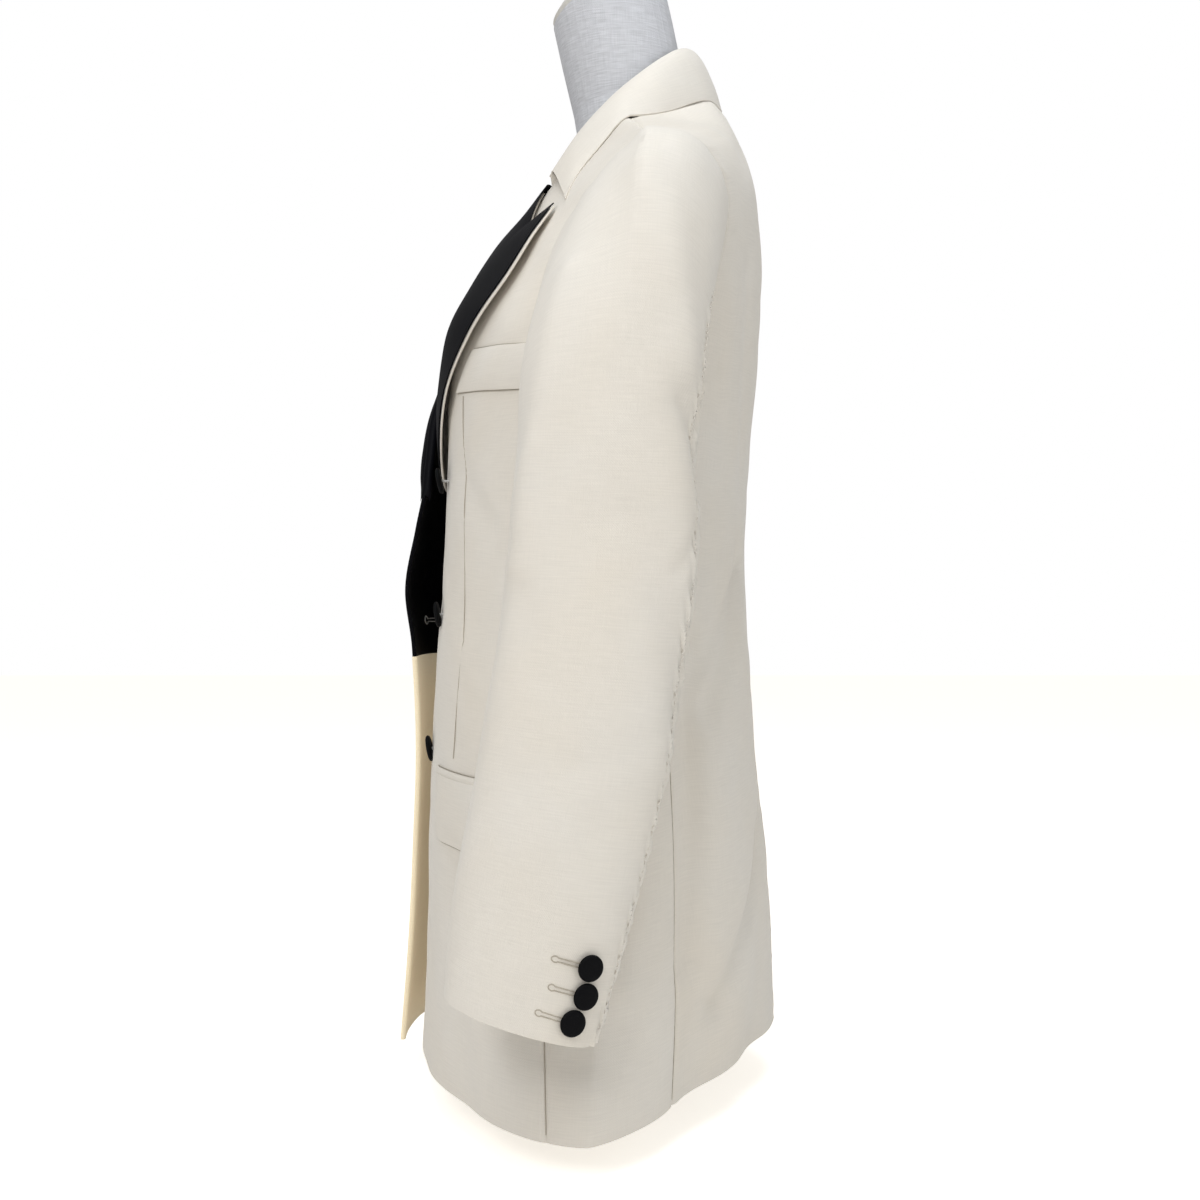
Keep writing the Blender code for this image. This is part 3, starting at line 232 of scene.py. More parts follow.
BACK_BORDER = (
    Border(0.03, 34.0), Border(0.105, 31.0), Border(0.269, 24.0), Border(0.375, 18.5),
    Border(0.475, 23.0), Border(0.6, 23.6), Border(0.64, 31.0), Border(0.69, 33.0),
    Border(0.74, 28.0), Border(0.775, 21.5), Border(0.79, 16.5),
)
UNDERARM = (
    Point(0.0, FRONT_UNDERARM), Point(0.25, 0.546), Point(0.5, 0.538),
    Point(0.75, 0.553), Point(1.0, BACK_UNDERARM),
)
EDGES = {
    Side.LEFT: (
        Point(-0.06, 0.03), Point(-0.066, 0.2), Point(-0.07, 0.465),
        Point(-0.03, 0.497), Point(0.006, 0.532), Point(0.032, 0.565),
        Point(0.047, 0.6), Point(0.057, 0.645), Point(0.064, 0.686),
        Point(0.069, 0.715), Point(0.075, 0.7413),
    ),
    Side.RIGHT: (
        Point(-0.019, 0.03), Point(-0.019, 0.2), Point(-0.018, 0.38),
        Point(-0.012, 0.455), Point(0.008, 0.49), Point(0.026, 0.53),
        Point(0.04, 0.568), Point(0.05, 0.605), Point(0.058, 0.646),
        Point(0.064, 0.686), Point(0.069, 0.715), Point(0.075, 0.7413),
    ),
}
BREAK_ROW = {Side.LEFT: 2, Side.RIGHT: 3}
GORGE_HEIGHT = 0.686
LAPELS = {
    Side.LEFT: (
        Point(-0.07, 0.4615), Point(-0.012, 0.463), Point(0.031, 0.486),
        Point(0.055, 0.509), Point(0.08, 0.536), Point(0.104, 0.56),
        Point(0.1195, 0.584), Point(0.127, 0.61), Point(0.1265, 0.636),
        Point(0.1225, 0.658),
    ),
    Side.RIGHT: (
        Point(-0.012, 0.453), Point(0.013, 0.469), Point(0.044, 0.494),
        Point(0.08, 0.5265), Point(0.104, 0.56), Point(0.1195, 0.584),
        Point(0.127, 0.61), Point(0.1265, 0.636), Point(0.1225, 0.658),
    ),
}
NOTCH = Point(0.1, 0.648)
NOTCH_SHARE = 0.57
NOTCH_FADE = 0.22
LAPEL_LIFT = 0.005
LAPEL_SPREAD = 0.009       # and its edge reaches this much farther out there
LAPEL_EDGE_LIFT = 0.0075   # its outer edge springs this far off the chest at its middle
SWING = (
    Swing(0.03, 0.0, 0.017), Swing(0.105, 0.0, 0.015), Swing(0.185, 0.002, 0.0145),
    Swing(0.265, 0.0025, 0.016), Swing(0.337, 0.0025, 0.0225), Swing(0.383, 0.0025, 0.032),
    Swing(0.43, 0.002, 0.026), Swing(0.471, 0.001, 0.019), Swing(0.52, 0.001, 0.017),
    Swing(0.555, 0.003, 0.014), Swing(0.59, 0.009, 0.013), Swing(0.645, 0.012, 0.012),
    Swing(0.69, 0.006, 0.006), Swing(0.74, 0.0, 0.0),
)
SWING_FULL = 0.04
SWING_NONE = 0.15
ARM = (
    Arm(0.5, 0.223, 0.007, 0.043, 0.059, 0.0),
    Arm(0.45, 0.227, 0.005, 0.042, 0.06, 1.0),
    Arm(0.375, 0.2335, -0.001, 0.041, 0.0605, 3.0),
    Arm(0.274, 0.244, -0.0166, 0.04, 0.0595, 7.0),
    Arm(0.187, 0.252, -0.0353, 0.038, 0.056, 12.0),
    Arm(0.14, 0.256, -0.045, 0.037, 0.0525, 15.0),
    Arm(0.1165, 0.258, -0.0495, 0.0365, 0.0497, 17.0),
)
COLLAR = (
    CollarStation(0.0, 0.0704, 0.81, 0.0, 0.0968),
    CollarStation(0.03, 0.062, 0.802, 0.036, 0.085),
    CollarStation(0.05, 0.046, 0.787, 0.068, 0.058),
    CollarStation(0.06, 0.026, 0.769, 0.092, 0.033),
    CollarStation(0.064, 0.006, 0.75, 0.106, 0.01),
    CollarStation(0.064, -0.017, 0.725, 0.114, -0.01),
    CollarStation(0.064, -0.037, 0.696, 0.131, -0.024),
)
# Large folds first, then the small soft creases that cloth on a form shows.
BODY_CREASES = (
    Crease(40.0, 0.02, 27.0, 0.29, -0.0075, 0.026, 0),
    Crease(62.0, 0.03, 72.0, 0.19, -0.0045, 0.02, 0),
    Crease(36.0, 0.335, 66.0, 0.4, -0.0075, 0.018, 0),
    Crease(-44.0, 0.03, -52.0, 0.18, -0.004, 0.022, 0),
    Crease(58.0, 0.395, 33.0, 0.335, 0.0036, 0.011, 0),
    Crease(74.0, 0.4, 40.0, 0.3, -0.006, 0.012, 1),
    Crease(70.0, 0.41, 42.0, 0.32, -0.0048, 0.012, -1),
    Crease(80.0, 0.215, 46.0, 0.09, -0.0075, 0.013, 1),
    Crease(76.0, 0.23, 50.0, 0.12, -0.006, 0.013, -1),
    Crease(50.0, 0.61, 62.0, 0.47, -0.002, 0.012, 0),
    Crease(38.0, 0.59, 44.0, 0.51, 0.0014, 0.01, 0),
    Crease(-58.0, 0.47, -42.0, 0.43, -0.0016, 0.012, 1),
    Crease(-62.0, 0.455, -40.0, 0.425, -0.0013, 0.011, -1),
    Crease(-38.0, 0.56, -52.0, 0.5, 0.0015, 0.013, 0),
    Crease(-30.0, 0.42, -46.0, 0.36, -0.0014, 0.01, 0),
    Crease(31.0, 0.345, 35.0, 0.13, -0.006, 0.014, 0),
    Crease(-6.0, 0.08, -4.0, 0.24, -0.002, 0.016, 0),
    Crease(14.0, 0.12, 10.0, 0.3, 0.0016, 0.014, 0),
)
DART = (
    Crease(-58.5, 0.525, -57.7, 0.485, -0.0004, 0.0016, 0),
    Crease(-57.7, 0.485, -55.9, 0.434, -0.0004, 0.0016, 0),
    Crease(-55.9, 0.434, -51.6, 0.346, -0.0004, 0.0016, 0),
    Crease(-51.6, 0.346, -53.6, 0.261, -0.0004, 0.0016, 0),
)
ARM_CREASES = (
    ArmCrease(-38.0, 0.22, -62.0, 0.52, 0.004, 0.013, 0),
    ArmCrease(60.0, 0.34, 88.0, 0.42, -0.006, 0.016, 0),
    ArmCrease(8.0, 0.12, 62.0, 0.33, 0.003, 0.012, 0),
    ArmCrease(18.0, 0.47, 80.0, 0.66, -0.0026, 0.017, 0),
    ArmCrease(78.0, 0.385, 52.0, 0.345, -0.001, 0.006, 1),
    ArmCrease(79.0, 0.47, 54.0, 0.52, -0.0012, 0.006, 1),
    ArmCrease(76.0, 0.5, 50.0, 0.465, -0.0011, 0.007, -1),
    ArmCrease(-66.0, 0.5, -30.0, 0.64, -0.001, 0.012, 0),
    ArmCrease(-78.0, 0.46, -52.0, 0.39, 0.001, 0.008, 1),
    ArmCrease(40.0, 0.7, 5.0, 0.73, -0.001, 0.011, 0),
    ArmCrease(-178.0, 0.4, -135.0, 0.43, -0.0026, 0.01, 0),
    ArmCrease(135.0, 0.45, 178.0, 0.49, -0.0022, 0.011, 0),
    ArmCrease(-176.0, 0.56, -140.0, 0.54, -0.0018, 0.012, -1),
)


# ---------------------------------------------------------------- curves
def column(table: tuple, name: str) -> Array:
    """Return one named column of a table as an array."""
    return np.array([getattr(row, name) for row in table], dtype=float)


def smooth(stations: Array, values: Array, at: Array | float) -> Array:
    """Read a smooth curve: cubic pieces with the mean slope at each station.

    Args:
        stations: increasing places of the known values.
        values: the known values.
        at: where to read.

    Returns:
        The curve's values at those places.
    """
    stations = np.asarray(stations, dtype=float)
    values = np.asarray(values, dtype=float)
    slopes = np.gradient(values, stations)
    at = np.clip(at, stations[0], stations[-1])
    cell = np.clip(np.searchsorted(stations, at, side="right") - 1, 0, len(stations) - 2)
    step = stations[cell + 1] - stations[cell]
    t = (at - stations[cell]) / step
    rise = t * t * (3.0 - 2.0 * t)
    start = t * (1.0 - t) ** 2 * step * slopes[cell]
    end = t * t * (t - 1.0) * step * slopes[cell + 1]
    return values[cell] * (1.0 - rise) + values[cell + 1] * rise + start + end


def smoothstep(low: float, high: float, at: Array) -> Array:
    """Rise from 0 at low to 1 at high without a corner."""
    t = np.clip((at - low) / (high - low), 0.0, 1.0)
    return t * t * (3.0 - 2.0 * t)


def signed_power(base: Array, power: Array | float) -> Array:
    """Raise the size of a signed value to a power and keep its sign."""
    return np.sign(base) * np.abs(base) ** power


def mix(a: Array | float, b: Array | float, share: Array | float) -> Array:
    """Straight blend from a to b."""
    return a + (b - a) * share


def unit(way: Array) -> Array:
    """Vectors scaled to length one."""
    return way / np.maximum(np.linalg.norm(way, axis=-1, keepdims=True), 1e-12)


def trough(u: Array, v: Array, start: tuple, end: tuple, depth: float, spread: float) -> Array:
    """Depth of a trough: a bell curve of the distance to the line from start to end.

    Args:
        u: first coordinate of each point, in metres.
        v: second coordinate of each point, in metres.
        start: one end of the line.
        end: its other end.
        depth: depth on the line, negative inwards.
        spread: distance at which the bell has fallen to about a third.

    Returns:
        The depth at each point.
    """
    along = (end[0] - start[0], end[1] - start[1])
    length = math.hypot(*along)
    t = np.clip(((u - start[0]) * along[0] + (v - start[1]) * along[1]) / length ** 2, 0.0, 1.0)
    off_u = u - start[0] - along[0] * t
    off_v = v - start[1] - along[1] * t
    return depth * np.exp(-(off_u ** 2 + off_v ** 2) / spread ** 2)


def crowded(count: int, places: tuple[float, ...], width: float, crowding: float) -> Array:
    """Shares from 0 to 1 that lie closer together near the given places.

    The density is one plus a bell curve at each place; the shares divide its area evenly.

    Args:
        count: how many shares.
        places: where they crowd.
        width: the bell curves' width.
        crowding: how much denser they are there.

    Returns:
        The shares in order.
    """
    fine = np.linspace(0.0, 1.0, 801)
    density = np.ones_like(fine)
    for place in places:
        density += crowding * np.exp(-((fine - place) / width) ** 2)
    area = np.concatenate(([0.0], np.cumsum(0.5 * (density[1:] + density[:-1]))))
    return np.interp(np.linspace(0.0, area[-1], count), area, fine)


def halved(low: Array, high: Array, before: Callable[[Array], Array]) -> Array:
    """Place where a test turns false, by halving the interval between low and high.

    Args:
        low: places where the test holds.
        high: places where it does not.
        before: the test.

    Returns:
        The places.
    """
    for _ in range(HALVINGS):
        middle = 0.5 * (low + high)
        holds = before(middle)
        low = np.where(holds, middle, low)
        high = np.where(holds, high, middle)
    return 0.5 * (low + high)


# ---------------------------------------------------------------- surfaces
@dataclass
class BodySurface:
    """Outer face of the coat's body: level rings that bend up to the shoulder line.

    A place is an angle round the body (-90 degrees at the centre front, 0 at the side, 90 at
    the centre back) and a run, the distance up its profile. Angles are of the wearer's left.
    """

    centre_y: float
    runs: Array = field(init=False)

    def __post_init__(self) -> None:
        """Measure the run of each ring: the length up the mean of both profiles."""
        rise = np.diff(column(BODY, "height"))
        lean = 0.5 * (np.abs(np.diff(column(BODY, "front"))) + np.abs(np.diff(column(BODY, "back"))))
        self.runs = np.concatenate(([0.0], np.cumsum(np.hypot(rise, lean))))

    @property
    def ridge(self) -> float:
        """Run of the shoulder ridge."""
        return float(self.runs[-1])

    def value(self, name: str, run: Array) -> Array:
        """Read one column of the rings at a run."""
        return smooth(self.runs, column(BODY, name), run)

    def run_at_height(self, height: Array | float) -> Array:
        """Run of the ring with this own height."""
        return np.interp(height, column(BODY, "height"), self.runs)

    def bare(self, theta: Array, run: Array, side: Side) -> Array:
        """Surface in left-hand coordinates, without creases.

        Each ring is a superellipse with its own front and back reach. Above the chest it takes
        a growing share of the shoulder line's fall and shift. The hem hangs lower at the sides,
        and each front stands forward near the centre by its swing.

        Args:
            theta: angles round the body.
            run: distances up the profile.
            side: whose front swings.

        Returns:
            Points as the last axis of the array.
        """
        front = np.sin(theta) < 0.0
        centre = self.value("centre", run)
        power = np.where(front, self.value("front_power", run), self.value("back_power", run))
        reach = np.where(front, centre - self.value("front", run), self.value("back", run) - centre)
        across = self.value("half_width", run) * signed_power(np.cos(theta), 2.0 / power)
        along = centre + reach * signed_power(np.sin(theta), 2.0 / power)
        top = BODY[-1]
        ring_height = self.value("height", run)
        rise = np.clip((ring_height - CHEST) / (top.height - CHEST), 0.0, 1.0) ** 2
        stations = column(SHOULDER, "across")
        line_z = smooth(stations, column(SHOULDER, "height"), np.abs(across))
        line_y = smooth(stations, column(SHOULDER, "along"), np.abs(across))
        height = ring_height - (top.height - line_z) * rise
        along = along + (line_y - top.centre) * rise
        hem = np.clip(1.0 - run / HEM_BLEND, 0.0, 1.0) ** 2
        lift = np.where(front, 0.0, HEM_LIFT_BACK * np.sin(theta) ** 2)
        height = height + hem * (lift - HEM_DIP_SIDE * np.cos(theta) ** 2)
        amount = smooth(column(SWING, "height"), column(SWING, side.label), height)
        weight = 1.0 - smoothstep(SWING_FULL, SWING_NONE, across)
        along = along - np.where(front, amount * weight, 0.0)
        return np.stack(np.broadcast_arrays(across, along, height), axis=-1)

    def normal(self, theta: Array, run: Array, side: Side) -> Array:
        """Outward unit normal: the cross product of central differences round and up."""
        turn = 1e-3
        step = 4e-4
        round_way = self.bare(theta + turn, run, side) - self.bare(theta - turn, run, side)
        up_way = self.bare(theta, run + step, side) - self.bare(theta, run - step, side)
        normal = unit(np.cross(round_way, up_way))
        normal[..., 1] *= smoothstep(0.0, RIDGE_SOFT, self.ridge - run)
        return unit(normal)

    def relief(self, theta: Array, height: Array, side: Side) -> Array:
        """Sum of the creases and the dart at each place."""
        depth = np.zeros(np.broadcast(theta, height).shape)
        for crease in BODY_CREASES + DART:
            if crease.sides in (0, int(side.value)):
                start = (math.radians(crease.degrees_a) * GIRTH_ARM, crease.height_a)
                end = (math.radians(crease.degrees_b) * GIRTH_ARM, crease.height_b)
                depth += trough(theta * GIRTH_ARM, height, start, end, crease.depth, crease.spread)
        return depth

    def point(self, theta: Array, run: Array, side: Side, lift: Array | float) -> Array:
        """Point of the coat, lifted off its outer face, in world coordinates.

        Args:
            theta: angles round the body.
            run: distances up the profile.
            side: side of the wearer.
            lift: distances out from the face.

        Returns:
            World points.
        """
        theta, run, lift = np.broadcast_arrays(theta, run, lift)
        bare = self.bare(theta, run, side)
        depth = self.relief(theta, bare[..., 2], side) + lift
        place = bare + self.normal(theta, run, side) * depth[..., None]
        return place * np.array((side.value, 1.0, 1.0)) + np.array((0.0, self.centre_y, 0.0))

    def angle_at(self, across: Array | float, run: Array | float, front: bool) -> Array:
        """Angle round a ring at a distance out from the centre line."""
        power = self.value("front_power" if front else "back_power", run)
        share = np.clip(across / self.value("half_width", run), -1.0, 1.0)
        angle = np.arccos(signed_power(share, power / 2.0))
        return -angle if front else angle

    def run_at_point(self, across: Array, height: Array, side: Side) -> Array:
        """Run on the front with this distance out and height, by halving the interval."""
        across, height = np.broadcast_arrays(across, height)

        def below(run: Array) -> Array:
            """Whether the front is lower than asked at a run."""
            return self.bare(self.angle_at(across, run, True), run, side)[..., 2] < height

        return halved(np.zeros(across.shape), np.full(across.shape, self.ridge), below)

    def run_at_depth(self, across: Array, along: Array, front: bool) -> Array:
        """Run on the upper front or back with this distance out and depth, by halving."""

        def before(run: Array) -> Array:
            """Whether the panel has not yet come in to the depth at a run."""
            value = self.bare(self.angle_at(across, run, front), run, Side.LEFT)[..., 1]
            return value < along if front else value > along

        return halved(np.full(across.shape, self.runs[BUST_RING]),
                      np.full(across.shape, self.ridge), before)

    def border(self, table: tuple[Border, ...], run: Array | float) -> Array:
        """Angle of a panel border at a run."""
        stations = self.run_at_height(column(table, "height"))
        return np.radians(smooth(stations, column(table, "degrees"), run))

    def edge_angle(self, side: Side, run: Array) -> Array:
        """Angle of the front's free edge, roll line and neckline at a run."""
        table = EDGES[side]
        across = column(table, "across")
        edge_runs = self.run_at_point(across, column(table, "height"), side)
        return self.angle_at(np.interp(run, edge_runs, across), run, True)

    def back_neck_run(self, theta: Array) -> Array:
        """Run of the back neckline and shoulder seam at an angle."""
        reach = np.abs(np.cos(theta)) ** (2.0 / BODY[-1].back_power)
        across = self.value("half_width", self.ridge) * reach
        fall = 1.0 - smoothstep(0.012, NECK_POINT, across)
        return mix(self.ridge, self.run_at_height(0.78), fall)


@dataclass(frozen=True)
class ArmSurface:
    """Outer face of a sleeve: a cap that leaves the armhole, then oval rings down the arm.

    A place is an angle round the arm (0 outwards, 90 to the back) and a share of its length.
    """

    body: BodySurface
    armhole_y: float = 0.027
    armhole_z: float = 0.614
    armhole_half_deep: float = 0.06
    armhole_half_high: float = 0.077
    cap_share: float = 0.34
    cap_out_top: float = 0.056
    cap_out_under: float = 0.008
    cap_drop_top: float = 0.085
    cap_drop_under: float = 0.016
    start_out: float = 0.0004

    def armhole(self) -> Grids:
        """Closed armhole edge in left-hand coordinates: the panels' borders in order of angle.

        Returns:
            Angles round the arm, and the edge's points.
        """
        body = self.body
        front_run = np.linspace(body.run_at_height(FRONT_UNDERARM), body.ridge, 60)
        back_run = np.linspace(body.ridge, body.run_at_height(BACK_UNDERARM), 60)[1:]
        share = np.linspace(1.0, 0.0, 40)[1:-1]
        height = smooth(column(UNDERARM, "across"), column(UNDERARM, "height"), share)
        low_run = body.run_at_height(height)
        low = mix(body.border(FRONT_BORDER, low_run), body.border(BACK_BORDER, low_run), share)
        theta = np.concatenate(
            (body.border(FRONT_BORDER, front_run), body.border(BACK_BORDER, back_run), low))
        points = body.bare(theta, np.concatenate((front_run, back_run, low_run)), Side.LEFT)
        turn = np.arctan2(
            (points[:, 1] - self.armhole_y) / self.armhole_half_deep,
            (points[:, 2] - self.armhole_z) / self.armhole_half_high)
        order = np.argsort(turn)
        return turn[order], points[order]

    def arm_point(self, psi: Array, height: Array | float) -> Array:
        """Point of the arm's ring centred at a height: an oval tilted about X, flatter on its outer face."""
        stations = column(ARM, "height")[::-1]
        names = ("across", "along", "half_thick", "half_deep", "tilt")
        across, along, thick, half_deep, tilt = (
            smooth(stations, column(ARM, name)[::-1], height) for name in names)
        deep = half_deep * np.sin(psi)
        lean = np.radians(tilt)
        flat = np.cos(psi)
        x = across + thick * np.where(flat > 0.0, signed_power(flat, SLEEVE_FLAT), flat)
        y = along + deep * np.cos(lean)
        return np.stack(np.broadcast_arrays(x, y, height - deep * np.sin(lean)), axis=-1)

    def bare(self, psi: Array, share: Array, hole: Grids) -> Array:
        """Surface without creases: a cubic curve from the armhole to the top arm ring, then the arm.

        Args:
            psi: angles round the arm.
            share: shares of the sleeve's length.
            hole: the armhole's angles and points.

        Returns:
            Points in left-hand coordinates.
        """
        psi, share = np.broadcast_arrays(psi, share)
        wrapped = (psi + math.pi) % (2.0 * math.pi) - math.pi
        start = np.stack(
            [np.interp(wrapped, hole[0], hole[1][:, axis], period=2.0 * math.pi) for axis in range(3)],
            axis=-1)
        start[..., 0] += self.start_out
        t = np.clip(share / self.cap_share, 0.0, 1.0)[..., None]
        top = (0.5 * (1.0 + np.cos(psi)))[..., None]
        end = self.arm_point(psi, ARM[0].height)
        first = start + mix(self.cap_out_under, self.cap_out_top, top) * np.array((1.0, 0.0, 0.0))
        drop = mix(self.cap_drop_under, self.cap_drop_top, top)
        second = end + drop * np.array((-0.06, 0.035, 1.0))
        cap = (1 - t) ** 3 * start + 3 * t * (1 - t) ** 2 * first
        cap = cap + 3 * t * t * (1 - t) * second + t ** 3 * end
        down = np.clip((share - self.cap_share) / (1.0 - self.cap_share), 0.0, 1.0)
        arm = self.arm_point(psi, mix(ARM[0].height, ARM[-1].height, down))
        return np.where(share[..., None] < self.cap_share, cap, arm)

    def point(self, psi: Array, share: Array, side: Side, lift: Array | float) -> Array:
        """Point of a sleeve in world coordinates, lifted off its outer face.

        Args:
            psi: angles round the arm.
            share: shares of the sleeve's length.
            side: side of the wearer.
            lift: distances out from the face.

        Returns:
            World points.
        """
        psi, share, lift = np.broadcast_arrays(psi, share, lift)
        hole = self.armhole()
        wrapped = (psi + math.pi) % (2.0 * math.pi) - math.pi
        depth = lift + np.zeros(psi.shape)
        for crease in ARM_CREASES:
            if crease.sides in (0, int(side.value)):
                start = (math.radians(crease.degrees_a) * SLEEVE_ARM, crease.share_a * SLEEVE_LENGTH)
                end = (math.radians(crease.degrees_b) * SLEEVE_ARM, crease.share_b * SLEEVE_LENGTH)
                depth = depth + trough(wrapped * SLEEVE_ARM, share * SLEEVE_LENGTH, start, end,
                                       crease.depth, crease.spread)
        turn = 1e-3
        low = np.clip(share - 1e-3, 0.0, 1.0)
        high = np.clip(share + 1e-3, 0.0, 1.0)
        round_way = self.bare(psi + turn, share, hole) - self.bare(psi - turn, share, hole)
        down_way = self.bare(psi, high, hole) - self.bare(psi, low, hole)
        normal = unit(np.cross(down_way, round_way))
        place = self.bare(psi, share, hole) + normal * depth[..., None]
        return place * np.array((side.value, 1.0, 1.0)) + np.array((0.0, self.body.centre_y, 0.0))


def grid_normal(grid: Array) -> Array:
    """Unit normal of a grid from its own differences, pointing up or outward."""
    normal = unit(np.cross(np.gradient(grid, axis=0), np.gradient(grid, axis=1)))
    middle = grid.mean(axis=(0, 1))
    outward = ((grid - middle) * normal).sum() + normal[..., 2].sum()
    return normal if outward > 0.0 else -normal


def waves(u: Array, v: Array, lengths: tuple[float, ...], seed: int) -> Array:
    """Uneven ripple between about -1 and 1: a mean of sines in turned directions.

    Args:
        u: first coordinate, in metres.
        v: second coordinate, in metres.
        lengths: wavelength of each sine, in metres.
        seed: seed of the directions and phases.

    Returns:
        The ripple at each place.
    """
    draw = np.random.default_rng(seed)
    total = np.zeros(np.broadcast(u, v).shape)
    for length in lengths:
        turn, phase = draw.uniform(0.0, 2.0 * math.pi, 2)
        way = (u * math.cos(turn) + v * math.sin(turn)) * 2.0 * math.pi / length
        total += np.sin(way + phase + 1.3 * np.sin(0.37 * way + turn))
    return total / math.sqrt(len(lengths))


# ---------------------------------------------------------------- meshes
def put_in_scene(piece: Piece) -> None:
    """Link an object to the scene."""
    bpy.context.scene.collection.objects.link(piece)


def grid_lengths(grid: Array) -> Grids:
    """Distances across and up a grid along its own rows and columns, in metres.

    Args:
        grid: points in rows and columns.

    Returns:
        The distance along each row from its middle, and up each column from its start.
    """
    across = np.linalg.norm(np.diff(grid, axis=1), axis=-1)
    up = np.linalg.norm(np.diff(grid, axis=0), axis=-1)
    u = np.concatenate((np.zeros((grid.shape[0], 1)), np.cumsum(across, axis=1)), axis=1)
    v = np.concatenate((np.zeros((1, grid.shape[1])), np.cumsum(up, axis=0)), axis=0)
    return u - u[:, grid.shape[1] // 2, None], v


def make_object(name: str, points: Array, faces: Array | list, uv: Array | None,
                materials: tuple[Material, ...], marks: Array | None = None) -> Piece:
    """Put points and faces into a named object, turned so that its faces point outwards.

    Args:
        name: the piece's name.
        points: vertices.
        faces: vertex numbers of each face.
        uv: metres across and up for each vertex, or None.
        materials: material slots in order.
        marks: material slot of each face, or None for the first.

    Returns:
        The linked object.
    """
    mesh = bpy.data.meshes.new(name)
    mesh.from_pydata(points.tolist(), [], np.asarray(faces).tolist() if isinstance(faces, Array) else faces)
    if uv is not None:
        corners = np.empty(len(mesh.loops), dtype=np.int32)
        mesh.loops.foreach_get("vertex_index", corners)
        layer = mesh.uv_layers.new(name="UVMap")
        layer.data.foreach_set("uv", uv[corners].astype(np.float32).ravel())
    if marks is not None:
        mesh.polygons.foreach_set("material_index", marks.astype(np.int32))
    shape = bmesh.new()
    shape.from_mesh(mesh)
    if shape.calc_volume(signed=True) < 0.0:
        bmesh.ops.reverse_faces(shape, faces=shape.faces)
    shape.to_mesh(mesh)
    shape.free()
    mesh.shade_smooth()
    mesh.set_sharp_from_angle(angle=math.radians(50.0))
    for made in materials:
        mesh.materials.append(made)
    piece = bpy.data.objects.new(name, mesh)
    put_in_scene(piece)
    return piece


def shell(name: str, outer: Array, inner: Array, face: Material,
          back: Material | None = None, level: bool = False) -> Piece:
    """Cloth between two grids, with a rim that rounds out between them.

    The rim's middle stands beyond the edge by about a third of the thickness.

    Args:
        name: the piece's name.
        outer: grid of the cloth's face.
        inner: grid of its back.
        face: material of the face and rim.
        back: material of the back, or None for the same.
        level: whether a row's threads keep one height, the mean of the row's.

    Returns:
        The piece.
    """
    rows, columns = outer.shape[:2]
    count = rows * columns
    index = np.arange(count).reshape(rows, columns)
    rim = np.concatenate((index[0, :-1], index[:-1, -1], index[-1, :0:-1], index[:0:-1, 0]))
    row, place = np.divmod(rim, columns)
    inside = index[np.clip(row, 1, rows - 2), np.clip(place, 1, columns - 2)]
    flat_outer = outer.reshape(-1, 3)
    flat_inner = inner.reshape(-1, 3)
    middle = 0.5 * (flat_outer[rim] + flat_inner[rim])
    thick = np.linalg.norm(flat_outer[rim] - flat_inner[rim], axis=1, keepdims=True)
    middle = middle + unit(flat_outer[rim] - flat_outer[inside]) * thick * 0.35
    points = np.concatenate((flat_outer, flat_inner, middle))
    cells = np.stack((index[:-1, :-1], index[:-1, 1:], index[1:, 1:], index[1:, :-1]), axis=-1)
    cells = cells.reshape(-1, 4)
    ring = 2 * count + np.arange(len(rim))
    after = np.roll(rim, -1)
    ring_after = np.roll(ring, -1)
    first = np.stack((after, rim, ring, ring_after), axis=-1)
    second = np.stack((ring_after, ring, rim + count, after + count), axis=-1)
    faces = np.concatenate((cells, cells[:, ::-1] + count, first, second))
    marks = np.zeros(len(faces))
    if back is not None:
        marks[len(cells):2 * len(cells)] = 1.0
    u, v = grid_lengths(outer)
    if level:
        v = np.broadcast_to(v.mean(axis=1, keepdims=True), v.shape)
    uv = np.stack((u, v), axis=-1).reshape(-1, 2)
    uv = np.concatenate((uv, uv, uv[rim]))
    materials = (face,) if back is None else (face, back)
    return make_object(name, points, faces, uv, materials, marks)


def lathe(rings: Array) -> tuple[Array, list]:
    """Closed solid through rings of the same size, with flat ends.

    Args:
        rings: points of each ring in order.

    Returns:
        Vertices and faces.
    """
    levels, sides = rings.shape[:2]
    index = np.arange(levels * sides).reshape(levels, sides)
    after = np.roll(index, -1, axis=1)
    cells = np.stack((index[:-1], after[:-1], after[1:], index[1:]), axis=-1).reshape(-1, 4)
    faces = cells.tolist()
    faces.append(index[0, ::-1].tolist())
    faces.append(index[-1].tolist())
    return rings.reshape(-1, 3), faces


